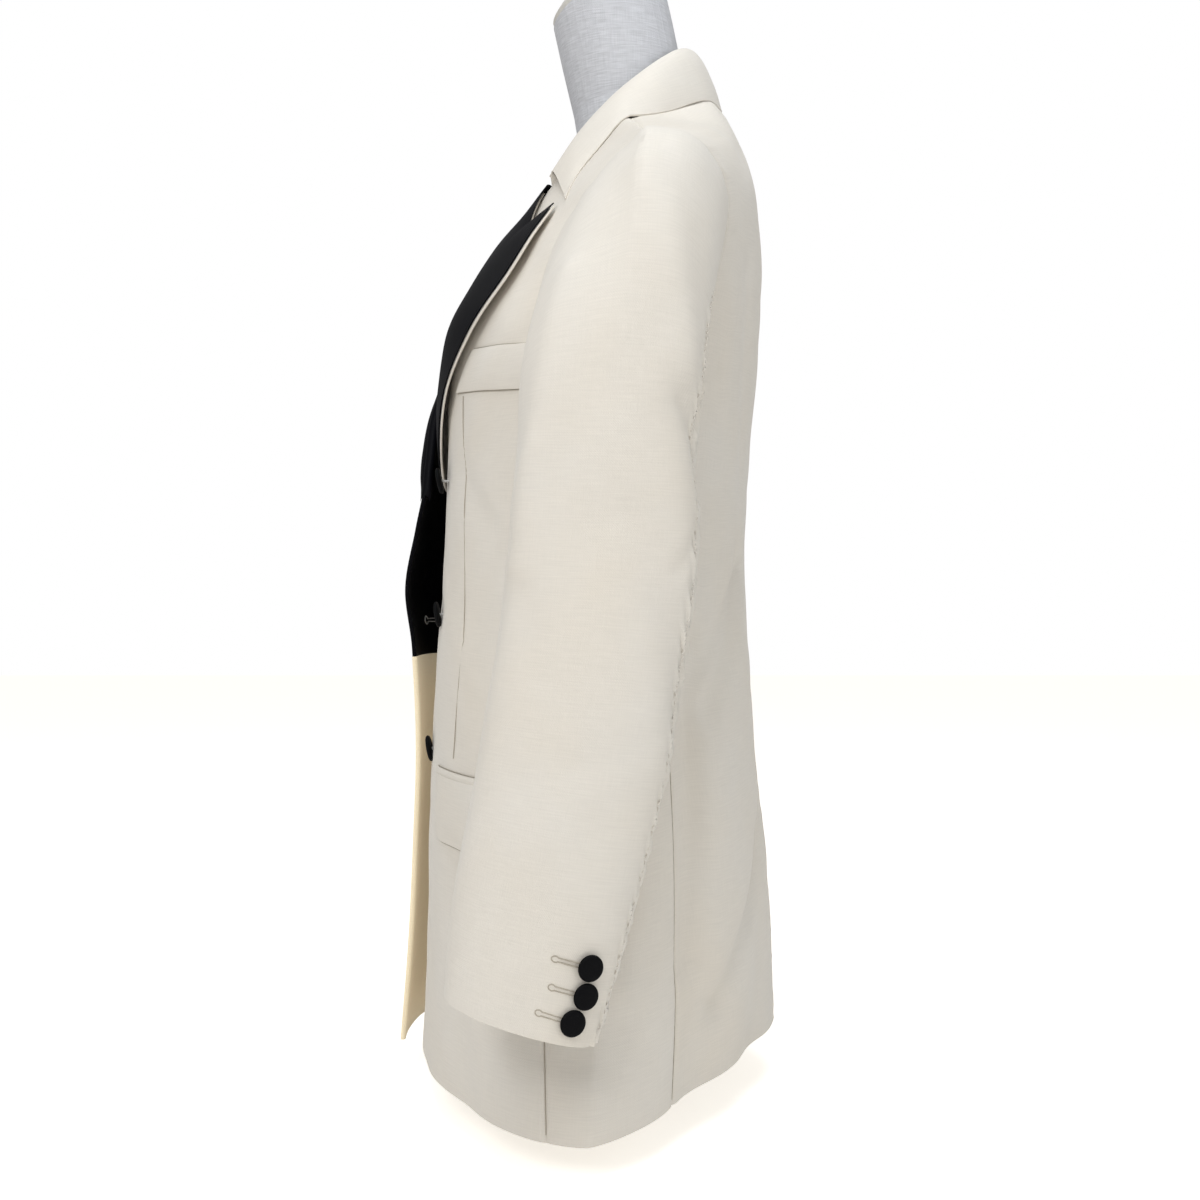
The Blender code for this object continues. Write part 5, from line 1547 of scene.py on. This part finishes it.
@dataclass
class Sleeves:
    """Upper and under sleeves, open at the cuff."""

    arm: ArmSurface
    wardrobe: Wardrobe
    rows: int = 210
    upper_columns: int = 64
    under_columns: int = 40
    back_seam: float = 80.0
    front_seam: float = -125.0
    seam_dip: float = 0.001
    unevenness: float = 0.00045
    stitch_draw: float = 0.0012
    stitch_span: tuple[float, float] = (0.2, 0.985)
    stitch_pitch: float = 0.0048
    stitch_long: float = 0.0026
    stitch_radius: float = 0.00042
    stitch_inset: float = 0.0042

    def grid(self, side: Side, psi: Array, upper: bool) -> Grids:
        """Face and back of a sleeve piece.

        The cloth dips at both seams. Beside the back seam the stitches draw it into short
        uneven puckers, which fade out within a centimetre.

        Args:
            side: side of the wearer.
            psi: angles of the columns.
            upper: whether it is the upper sleeve.

        Returns:
            Grids of the face and of the back.
        """
        share = np.linspace(0.0, 1.0, self.rows)[:, None]
        angle = psi[None, :]
        bare = self.arm.point(angle, share, side, 0.0)
        u, v = grid_lengths(bare)
        first = u - u[:, :1]
        last = u[:, -1:] - u
        at_back = last if upper else first
        near = np.exp(-(first / 0.002) ** 2) + np.exp(-(last / 0.002) ** 2)
        calm = 1.0 - near
        depth = self.unevenness * waves(u, v, (0.15, 0.098, 0.066), 53 if upper else 59) * calm
        depth = depth - self.seam_dip * near
        pucker = waves(v, at_back * 0.35, (0.0072, 0.0101, 0.0134), 61)
        strength = smoothstep(0.16, 0.3, share) * np.exp(-((at_back - 0.0045) / 0.0045) ** 2)
        depth = depth + self.stitch_draw * pucker * strength
        head = np.exp(-(share / 0.02) ** 2)
        fullness = np.exp(-(((share - 0.035) / 0.035) ** 2))
        depth = depth - self.seam_dip * head
        depth = depth + 0.0004 * fullness * waves(u, v * 0.1, (0.021, 0.03), 67)
        cuff = np.exp(-((1.0 - share) / 0.003) ** 2)
        depth = depth - 0.0002 * cuff
        outer = self.arm.point(angle, share, side, depth)
        return outer, self.arm.point(angle, share, side, depth - CLOTH)

    def build(self) -> None:
        """Build both sleeves."""
        for side in Side:
            front = np.linspace(self.front_seam, self.back_seam, 2)
            upper_share = crowded(self.upper_columns, (0.0, 1.0), 0.05, 3.0)
            upper = np.radians(mix(front[0], front[1], upper_share))
            under_share = crowded(self.under_columns, (0.0, 1.0), 0.06, 2.5)
            under = np.radians(mix(self.back_seam, self.front_seam + 360.0, under_share))
            for label, psi, is_upper in (("upper", upper, True), ("under", under, False)):
                outer, inner = self.grid(side, psi, is_upper)
                piece = shell(f"sleeve_{label}_cloth_{side.label}", outer, inner,
                              self.wardrobe.suiting, self.wardrobe.lining, True)
                lies(piece, (f"sleeve_{label}_{side.label}",))
                declare_cloth(piece, outer)
            self.stitches(side)

    def stitches(self, side: Side) -> None:
        """Row of short hand stitches beside the back seam, each a bead of thread that sinks in at its ends.

        Args:
            side: side of the wearer.
        """
        at = np.arange(*self.stitch_span, self.stitch_pitch / SLEEVE_LENGTH)
        at = at + 0.12 * self.stitch_pitch / SLEEVE_LENGTH * np.sin(at * 711.0)
        step = np.linspace(-1.0, 1.0, 5)
        share = at[:, None] + 0.5 * self.stitch_long / SLEEVE_LENGTH * step[None, :]
        inset = (self.stitch_inset + 0.0003 * np.sin(at * 1409.0)) / SLEEVE_ARM
        psi = math.radians(self.back_seam) - inset[:, None] + np.zeros_like(share)
        lift = self.stitch_radius * (0.9 - 1.9 * step[None, :] ** 4) + np.zeros_like(share)
        paths = self.arm.point(psi, share, side, lift)
        points, faces, count = [], [], 0
        for path in paths:
            ring, cells = thread(path, self.stitch_radius, False, 5)
            points.append(ring)
            faces.extend([count + corner for corner in cell] for cell in cells)
            count += len(ring)
        every = np.concatenate(points)
        piece = make_object(f"sleeve_stitches_{side.label}", every, faces, every[:, (1, 2)],
                            (self.wardrobe.suiting,))
        lies(piece)


@dataclass
class Collar:
    """Stand from the neck seam up to the fold, and the leaf that falls from it."""

    body: BodySurface
    wardrobe: Wardrobe
    columns: int = 150
    leaf_rows: int = 30
    stand_rows: int = 12
    leaf_seat: float = 0.0028
    leaf_lift: float = 0.0012
    leaf_round: float = 0.013
    stand_inset: float = 0.0024
    stand_raise: float = 0.0017
    fold_radius: float = 0.0022

    def curve(self, names: tuple[str, ...], share: Array) -> Array:
        """Curve through collar columns, mirrored about the centre back."""
        stations = np.linspace(0.0, 1.0, len(COLLAR))
        mirrored = np.concatenate((-stations[:0:-1], stations))
        parts = []
        for name in names:
            values = column(COLLAR, name)
            flip = -1.0 if name.endswith("x") else 1.0
            parts.append(smooth(mirrored, np.concatenate((flip * values[:0:-1], values)), share))
        return np.stack(parts, axis=-1)

    def shifted(self, points: Array) -> Array:
        """Points moved from the drawing's centre line to the model's."""
        return points + np.array((0.0, self.body.centre_y, 0.0))

    def leaf_edge(self, share: Array) -> Array:
        """Edge of the leaf, lying on the coat."""
        place = self.curve(("edge_x", "edge_y"), share)
        across = np.abs(place[:, 0])
        ridge = smooth(column(SHOULDER, "across"), column(SHOULDER, "along"), across)
        points = np.zeros((len(share), 3))
        for front in (True, False):
            chosen = (place[:, 1] < ridge) == front
            run = self.body.run_at_depth(across[chosen], place[chosen, 1], front)
            theta = self.body.angle_at(across[chosen], run, front)
            points[chosen] = self.body.point(theta, run, Side.LEFT, self.leaf_lift)
        points[:, 0] *= np.sign(place[:, 0] + 1e-12)
        return points

    def leaf(self) -> None:
        """Leaf that rolls over the stand's top, rounds outwards and falls to its edge."""
        share = np.linspace(-1.0, 1.0, self.columns)
        fold = self.shifted(self.curve(("roll_x", "roll_y", "roll_z"), share))
        fold = fold + np.array((0.0, 0.0, self.leaf_seat))
        edge = self.leaf_edge(share)
        outward = edge - fold
        outward[:, 2] = 0.0
        outward = unit(outward)
        control = fold + outward * self.leaf_round + np.array((0.0, 0.0, 0.001))
        t = np.linspace(0.0, 1.0, self.leaf_rows)[:, None, None]
        fall = (1 - t) ** 2 * fold + 2 * t * (1 - t) * control + t * t * edge
        turn = np.radians(np.linspace(-150.0, -18.0, 8))[:, None, None]
        centre = fold - np.array((0.0, 0.0, self.fold_radius))
        up = np.array((0.0, 0.0, 1.0))
        over = centre + self.fold_radius * (np.sin(turn) * outward + np.cos(turn) * up)
        outer = np.concatenate((over, fall))
        normal = grid_normal(outer)
        inner = outer - normal * CLOTH
        outer = outer + normal * 0.0002 * waves(*grid_lengths(outer), (0.05, 0.031), 71)[..., None]
        piece = shell("collar_leaf_cloth", outer, inner, self.wardrobe.suiting)
        lies(piece, ("collar_leaf",))
        declare_cloth(piece, outer)

    def neck_seam(self, share: Array) -> Array:
        """Neckline of the panels, centre back to gorge, at shares of its length."""
        body = self.body
        neck_angle = float(body.angle_at(NECK_POINT, body.ridge, False))
        back_angle = np.linspace(BACK_CENTRE, neck_angle, 40)
        back = body.bare(back_angle, body.back_neck_run(back_angle), Side.LEFT)
        neck = [point for point in EDGES[Side.LEFT] if point.height >= GORGE_HEIGHT][::-1]
        height = np.linspace(neck[0].height, neck[-1].height, 30)
        across = np.interp(height, column(neck, "height")[::-1], column(neck, "across")[::-1])
        run = body.run_at_point(across, height, Side.LEFT)
        front = body.bare(body.angle_at(across, run, True), run, Side.LEFT)
        points = np.concatenate((back, front))
        length = np.concatenate(([0.0], np.cumsum(np.linalg.norm(np.diff(points, axis=0), axis=1))))
        place = np.abs(share) * length[-1]
        parts = [np.interp(place, length, points[:, axis]) for axis in range(3)]
        parts[0] = parts[0] * np.sign(share)
        return self.shifted(np.stack(parts, axis=-1))

    def stand(self) -> None:
        """Stand from the neck seam up to just under the fold."""
        share = np.linspace(-1.0, 1.0, self.columns)
        fold = self.shifted(self.curve(("roll_x", "roll_y", "roll_z"), share))
        seam = self.neck_seam(share)
        inward = np.array((0.0, fold[:, 1].mean(), 0.0)) - seam
        inward[:, 2] = 0.0
        seam = seam + unit(inward) * self.stand_inset + np.array((0.0, 0.0, self.stand_raise))
        t = np.linspace(0.0, 1.0, self.stand_rows)[:, None, None]
        outer = mix(fold, seam, t)
        piece = shell("collar_stand_cloth", outer, outer - grid_normal(outer) * CLOTH, self.wardrobe.suiting)
        lies(piece, ("collar_stand",))
        declare_cloth(piece, outer)

    def build(self) -> None:
        """Build the collar."""
        self.stand()
        self.leaf()


@dataclass
class Pockets:
    """Chest welt on the left front, and a jetted flap pocket on each front."""

    body: BodySurface
    wardrobe: Wardrobe
    flap_front_x: float = 0.086
    flap_back_degrees: float = -10.0
    flap_top: float = 0.252
    flap_drop_back: float = 0.0045
    flap_deep: float = 0.052
    flap_corner: float = 0.014
    flap_width: float = 0.135
    jet_deep: float = 0.0042
    welt_bottom: tuple[Point, Point] = (Point(0.085, 0.5285), Point(0.158, 0.5215))
    welt_top: tuple[Point, Point] = (Point(0.11, 0.556), Point(0.16, 0.552))
    seat: float = 0.0005
    edge_press: float = 0.0004
    line_radius: float = 0.00034
    line_lift: float = 0.0002
    line_out: float = 0.0008

    def piece(self, name: str, theta: Array, run: Array, side: Side, node: str,
              rounded: float) -> tuple[Piece, Array]:
        """One pocket layer on the coat, pressed thinner at its edges.

        Args:
            name: the piece's name.
            theta: grid of angles.
            run: grid of runs.
            side: side of the wearer.
            node: the solid that it stands for.
            rounded: how much its middle stands up.

        Returns:
            The layer and the grid of its face.
        """
        theta, run = np.broadcast_arrays(theta, run)
        bare = self.body.point(theta, run, side, self.seat)
        u, v = grid_lengths(bare)
        edge = np.minimum.reduce([v, v[-1:] - v, u - u[:, :1], u[:, -1:] - u])
        depth = self.edge_press * np.exp(-(edge / 0.0015) ** 2)
        middle = rounded * smoothstep(0.0, 0.012, edge)
        outer = self.body.point(theta, run, side, self.seat + CLOTH + middle - depth)
        inner = self.body.point(theta, run, side, self.seat)
        made = shell(name, outer, inner, self.wardrobe.suiting)
        return lies(made, (node,)), outer

    def edge_line(self, name: str, theta: Array, run: Array, side: Side) -> None:
        """Row of edge stitches just outside a pocket layer, low on the coat; their dark tone is partly painted
        shade along the pocket's edge.

        Args:
            name: its name.
            theta: angles along the line.
            run: runs along it.
            side: side of the wearer.
        """
        path = self.body.point(theta, run, side, self.line_lift)
        strand(name, path, False, self.line_radius, self.wardrobe.seam)

    def angles(self, columns: int) -> Array:
        """Angles along a flap pocket from its front end to its back end."""
        run = self.body.run_at_height(self.flap_top)
        front = float(self.body.angle_at(self.flap_front_x, run, True))
        return np.linspace(front, math.radians(self.flap_back_degrees), columns)

    def flap(self, side: Side, jet: Piece) -> None:
        """Flap with rounded lower corners: each corner leaves a quarter circle.

        Args:
            side: side of the wearer.
            jet: not used.
        """
        columns = 60
        share = np.linspace(0.0, 1.0, columns)
        top = self.flap_top - self.jet_deep - GAP - self.flap_drop_back * share
        reach = np.minimum(share, 1.0 - share) * self.flap_width
        corner = self.flap_corner
        rounding = corner - np.sqrt(np.clip(corner ** 2 - (corner - reach) ** 2, 0.0, None))
        rounding = np.where(reach < corner, rounding, 0.0)
        bottom = self.flap_top - self.flap_deep - self.flap_drop_back * share + rounding
        down = crowded(24, (0.0, 1.0), 0.05, 2.0)[::-1, None]
        run = self.body.run_at_height(mix(top[None, :], bottom[None, :], down))
        made, outer = self.piece(f"flap_cloth_{side.label}", self.angles(columns)[None, :], run, side,
                                 f"pocket_flap_{side.label}", 0.0008)
        declare_cloth(made, outer)
        body = self.body
        self.edge_line(f"flap_line_{side.label}", self.angles(columns),
                       body.run_at_height(bottom - self.line_out), side)
        self.edge_line(f"jet_line_{side.label}", self.angles(columns),
                       body.run_at_height(top + self.jet_deep + GAP + self.line_out), side)

    def jet(self, side: Side) -> Piece:
        """Narrow rounded jet over the flap."""
        columns = 60
        top = self.flap_top - self.flap_drop_back * np.linspace(0.0, 1.0, columns)
        down = np.linspace(0.0, 1.0, 8)[:, None]
        run = self.body.run_at_height(mix(top - self.jet_deep, top, down))
        return self.piece(f"jet_cloth_{side.label}", self.angles(columns)[None, :], run, side,
                          f"pocket_jet_{side.label}", 0.0006)[0]

    def welt(self) -> None:
        """Slanted chest welt, open along its top edge."""
        share = np.linspace(0.0, 1.0, 50)[None, :]
        down = crowded(22, (0.0, 1.0), 0.06, 2.0)[:, None]
        parts = []
        for name in ("across", "height"):
            bottom = mix(*column(self.welt_bottom, name), share)
            top = mix(*column(self.welt_top, name), share)
            parts.append(mix(bottom, top, down))
        run = self.body.run_at_point(parts[0], parts[1], Side.LEFT)
        theta = self.body.angle_at(parts[0], run, True)
        made, outer = self.piece("welt_cloth", theta, run, Side.LEFT, "chest_welt", 0.0009)
        declare_cloth(made, outer)
        for label, row, out in (("bottom", 0, -self.line_out), ("top", -1, self.line_out)):
            line = self.body.run_at_point(parts[0][row], parts[1][row] + out, Side.LEFT)
            self.edge_line(f"welt_line_{label}", self.body.angle_at(parts[0][row], line, True), line, Side.LEFT)

    def build(self) -> None:
        """Build every pocket."""
        self.welt()
        for side in Side:
            self.flap(side, self.jet(side))


@dataclass
class Fastenings:
    """Covered buttons, their thread shanks, and the worked buttonholes."""

    body: BodySurface
    arm: ArmSurface
    wardrobe: Wardrobe
    front_radius: float = 0.01
    front_thick: float = 0.004
    cuff_radius: float = 0.0083
    cuff_thick: float = 0.004
    front_rows: Triple = (0.466, 0.364, 0.262)
    front_across: tuple[float, float] = (0.052, 0.074)
    cuff_shares: Triple = (0.922, 0.95, 0.977)
    cuff_degrees: Triple = (40.0, 42.0, 37.0)
    seat: float = 0.0006
    hangs: Triple = (0.0048, 0.0012, 0.0002)
    droop: float = 0.22
    turned: float = 0.9
    hole_long: float = 0.0215
    hole_drop: float = 0.006
    hole_start: float = 0.045
    cuff_hole_long: float = 0.017
    hole_eye: float = 0.0034
    hole_half: float = 0.0013
    cuff_eye: float = 0.0019
    cuff_half: float = 0.0012
    thread_radius: float = 0.0005
    cuff_thread_radius: float = 0.0004
    shank_radius: float = 0.0011
    shank_sag: float = 0.0004

    def button(self, name: str, centre: Array, normal: Array, radius: float, thick: float, node: str) -> None:
        """Covered button: cloth drawn over a low dome and tucked in under its rim.

        Args:
            name: the piece's name.
            centre: middle of its back.
            normal: the way it faces.
            radius: its radius.
            thick: its height.
            node: the solid that it stands for.
        """
        profile = np.array((
            (0.3, 0.00), (0.78, 0.02), (0.9, 0.1), (0.97, 0.26), (1.00, 0.44), (0.985, 0.62),
            (0.93, 0.78), (0.84, 0.88), (0.7, 0.94), (0.5, 0.98), (0.25, 1.00), (0.04, 1.01)))
        normal = unit(np.asarray(normal))
        side_way = unit(np.cross(normal, (0.0, 0.0, 1.0)))
        up_way = np.cross(side_way, normal)
        turn = np.linspace(0.0, 2.0 * math.pi, 40, endpoint=False)[:, None]
        spokes = np.cos(turn) * side_way + np.sin(turn) * up_way
        rings = (centre + spokes[None] * radius * profile[:, 0, None, None]
                 + normal * thick * profile[:, 1, None, None])
        points, faces = lathe(rings)
        flat = (points - centre) @ np.stack((side_way, up_way), axis=1)
        piece = make_object(name, points, faces, flat, (self.wardrobe.button,))
        lies(piece, (node,))

    

    def shank(self, name: str, start: Array, end: Array) -> None:
        """Bundle of thread from the cloth to a button's back, thinner at its middle."""
        t = np.linspace(0.0, 1.0, 7)[:, None]
        path = start + (end - start) * t
        sag = np.array((0.0, 0.0, -self.shank_sag)) * np.sin(math.pi * t)
        strand(name, path + sag, False, self.shank_radius, self.wardrobe.thread)

    def outline(self, long: float, eye_radius: float, half: float) -> Grids:
        """Keyhole outline: an eye of three quarters of a circle, then a slot with a bar end.

        Args:
            long: length of the slot from the eye's middle.
            eye_radius: radius of the eye.
            half: half the slot's width.

        Returns:
            Distances along the slot and square to it.
        """
        gap = math.asin(half / eye_radius)
        turn = np.linspace(gap, 2.0 * math.pi - gap, 22)
        eye = np.stack((eye_radius * np.cos(turn), eye_radius * np.sin(turn)), axis=1)
        along = np.linspace(eye_radius, long, 14)[:, None]
        low = np.concatenate((along, np.full_like(along, -half)), axis=1)
        high = np.concatenate((along, np.full_like(along, half)), axis=1)[::-1]
        path = np.concatenate((eye, low, high))
        return path[:, 0], path[:, 1]

    def front_hole(self, row: int, height: float) -> None:
        """Buttonhole through the right front near its edge, worked on the face and inside."""
        along, square = self.outline(self.hole_long, self.hole_eye, self.hole_half)
        across = self.hole_start + along
        run = self.body.run_at_point(across, height + square, Side.RIGHT)
        theta = self.body.angle_at(across, run, True)
        inside = -CLOTH - GAP - SATIN - 0.0003
        for label, lift in (("face", 0.0003), ("inside", inside)):
            path = self.body.point(theta, run, Side.RIGHT, lift)
            strand(f"buttonhole_front_{label}_{row}", path, True, self.thread_radius, self.wardrobe.thread)

    def cuff_hole(self, side: Side, row: int, share: float, degrees: float) -> None:
        """Buttonhole that runs forward from under a cuff button; its thread takes the darker seam tone, which
        is partly painted shade.
        """
        along, square = self.outline(self.cuff_hole_long, self.cuff_eye, self.cuff_half)
        arm_round = 0.043
        psi = math.radians(degrees) + (along - self.cuff_hole_long - 0.002) / arm_round
        place = share + (square - 0.1 * (self.cuff_hole_long - along)) / SLEEVE_LENGTH
        path = self.arm.point(psi, place, side, 0.0002)
        strand(f"buttonhole_cuff_{side.label}_{row}", path, True, self.cuff_thread_radius, self.wardrobe.seam)

    def build(self) -> None:
        """Build the buttons, shanks and holes of fronts and cuffs."""
        for side, across in zip(Side, self.front_across):
            loose = 1.0 if side is Side.LEFT else 0.0
            for row, (height, hang) in enumerate(zip(self.front_rows, self.hangs), start=1):
                place = np.array([across])
                run = self.body.run_at_point(place, np.array([height]), side)
                theta = self.body.angle_at(place, run, True)
                face = self.body.point(theta, run, side, 0.0)[0]
                normal = unit(self.body.point(theta, run, side, 1.0)[0] - face)
                centre = face + normal * (self.seat + hang * loose)
                facing = normal * np.array((1.0 - self.turned * loose, 1.0, 1.0))
                facing = facing - np.array((0.0, 0.0, self.droop)) * loose
                self.button(f"covered_button_front_{side.label}_{row}", centre, facing,
                            self.front_radius, self.front_thick, f"button_front_{side.label}_{row}")
                self.shank(f"button_shank_{side.label}_{row}", face - normal * 0.0005, centre + normal * 0.0006)
            for row, (share, degrees) in enumerate(zip(self.cuff_shares, self.cuff_degrees), start=1):
                psi = np.array([math.radians(degrees)])
                face = self.arm.point(psi, np.array([share]), side, 0.0)[0]
                normal = unit(self.arm.point(psi, np.array([share]), side, 1.0)[0] - face)
                self.button(f"covered_button_cuff_{side.label}_{row}", face + normal * self.seat, normal,
                            self.cuff_radius, self.cuff_thick, f"button_cuff_{side.label}_{row}")
                self.cuff_hole(side, row, share, degrees)
        for row, height in enumerate(self.front_rows[1:], start=2):
            self.front_hole(row, height - self.hole_drop)


# ---------------------------------------------------------------- form and studio
@dataclass
class DressForm:
    """Linen torso and neck, the neck's cap, the stem and the base."""

    wardrobe: Wardrobe

    def wrap(self, node: Piece) -> None:
        """Give the linen its threads: distance round the form and height as a UV map.

        The distance is the angle about the form's upright axis times a mean radius.

        Args:
            node: the torso.
        """
        mesh = node.data
        count = len(mesh.vertices)
        points = np.empty(count * 3)
        mesh.vertices.foreach_get("co", points)
        points = points.reshape(-1, 3)
        corners = np.empty(len(mesh.loops), dtype=np.int32)
        mesh.loops.foreach_get("vertex_index", corners)
        angle = np.arctan2(points[:, 0], -(points[:, 1] - 0.02))
        uv = np.stack((angle * 0.07, points[:, 2]), axis=1)
        layer = mesh.uv_layers.new(name="UVMap")
        layer.data.foreach_set("uv", uv[corners].astype(np.float32).ravel())

    def build(self) -> None:
        """Dress the form's own solids."""
        nodes = frame["nodes"]
        torso = nodes["form_torso"]
        self.wrap(torso)
        for name, finish in (("form_torso", self.wardrobe.linen), ("form_cap", self.wardrobe.cap),
                             ("form_stem", self.wardrobe.steel), ("form_base", self.wardrobe.steel)):
            node = nodes[name]
            node.data.materials.clear()
            node.data.materials.append(finish)
            LOG.info("%s: dressed", name)


@dataclass
class Studio:
    """Pale floor, soft light and the camera."""

    centre_y: float
    distance: float = 1.15
    eye_height: float = 0.375
    lens: float = 43.1
    sensor: float = 36.0
    world_light: float = 0.32
    floor_glow: float = 0.22

    def floor(self) -> None:
        """Large plain floor, a shade under white."""
        size = 6.0
        corners = np.array(((-size, -size, 0.0), (size, -size, 0.0), (size, size, 0.0), (-size, size, 0.0)))
        mesh = bpy.data.meshes.new("studio_floor")
        mesh.from_pydata(corners.tolist(), [], [(0, 1, 2, 3)])
        made = bpy.data.materials.new("studio_floor")
        made.use_nodes = True
        shader = made.node_tree.nodes["Principled BSDF"]
        shader.inputs["Base Color"].default_value = (0.93, 0.92, 0.9, 1.0)
        shader.inputs["Roughness"].default_value = 0.9
        shader.inputs["Emission Color"].default_value = (1.0, 0.955, 0.88, 1.0)
        path = made.node_tree.nodes.new("ShaderNodeLightPath")
        level = made.node_tree.nodes.new("ShaderNodeMapRange")
        made.node_tree.links.new(path.outputs["Is Camera Ray"], level.inputs["Value"])
        level.inputs["To Min"].default_value = self.floor_glow
        level.inputs["To Max"].default_value = 0.75
        made.node_tree.links.new(level.outputs[0], shader.inputs["Emission Strength"])
        mesh.materials.append(made)
        piece = bpy.data.objects.new("studio_floor", mesh)
        put_in_scene(piece)

    def world(self) -> None:
        """White surroundings: full white to the eye, softer as light."""
        world = bpy.data.worlds.new("studio_world")
        bpy.context.scene.world = world
        world.use_nodes = True
        tree = world.node_tree
        back = tree.nodes["Background"]
        back.inputs["Color"].default_value = (1.0, 1.0, 1.0, 1.0)
        path = tree.nodes.new("ShaderNodeLightPath")
        level = tree.nodes.new("ShaderNodeMapRange")
        tree.links.new(path.outputs["Is Camera Ray"], level.inputs["Value"])
        level.inputs["To Min"].default_value = self.world_light
        level.inputs["To Max"].default_value = 1.0
        tree.links.new(level.outputs[0], back.inputs["Strength"])

    def lamp(self, name: str, place: tuple, aim: tuple, size: float, power: float, colour: tuple) -> None:
        """Square soft light.

        Args:
            name: the light's name.
            place: where it stands.
            aim: the point it faces.
            size: its side.
            power: its power in watts.
            colour: its colour.
        """
        data = bpy.data.lights.new(name, "AREA")
        data.shape = "SQUARE"
        data.size = size
        data.energy = power
        data.color = colour
        lamp = bpy.data.objects.new(name, data)
        lamp.location = place
        way = np.array(aim) - np.array(place)
        lamp.rotation_euler = (math.atan2(math.hypot(way[0], way[1]), -way[2]), 0.0,
                               math.atan2(way[1], way[0]) - 0.5 * math.pi)
        put_in_scene(lamp)

    def camera(self) -> None:
        """Camera level with the coat's waist, square to its left side."""
        data = bpy.data.cameras.new("studio_camera")
        data.lens = self.lens
        data.sensor_width = self.sensor
        data.clip_start = 0.01
        camera = bpy.data.objects.new("studio_camera", data)
        camera.location = (self.distance, self.centre_y, self.eye_height)
        camera.rotation_euler = (0.5 * math.pi, 0.0, 0.5 * math.pi)
        put_in_scene(camera)
        bpy.context.scene.camera = camera

    def build(self) -> None:
        """Set the floor, the lights and the camera."""
        bpy.context.scene.view_settings.view_transform = "Standard"
        self.floor()
        self.world()
        self.lamp("key", (1.7, -0.7, 1.5), (0.1, 0.0, 0.42), 0.8, 14.4, (1.0, 0.995, 0.985))
        self.lamp("fill", (1.4, 1.7, 1.1), (0.1, 0.0, 0.4), 1.6, 7.6, (0.93, 0.97, 1.0))
        self.lamp("top", (0.55, 0.0, 2.1), (0.15, 0.0, 0.5), 1.1, 17.0, (0.93, 0.97, 1.0))
        self.camera()


def main() -> None:
    """Build the coat, its form and the studio, in order."""
    logging.basicConfig(level=logging.INFO, format="%(name)s: %(message)s")
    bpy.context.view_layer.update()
    low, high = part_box("form_base")
    centre_y = 0.5 * (float(low[1]) + float(high[1])) - BASE_Y
    wardrobe = Wardrobe.make()
    body = BodySurface(centre_y)
    arm = ArmSurface(body)
    for part in (CoatBody(body, wardrobe), Sleeves(arm, wardrobe), Collar(body, wardrobe),
                 Pockets(body, wardrobe), Fastenings(body, arm, wardrobe), DressForm(wardrobe),
                 Studio(centre_y)):
        part.build()
        LOG.info("%s: built", type(part).__name__)


if __name__ == "__main__":
    main()
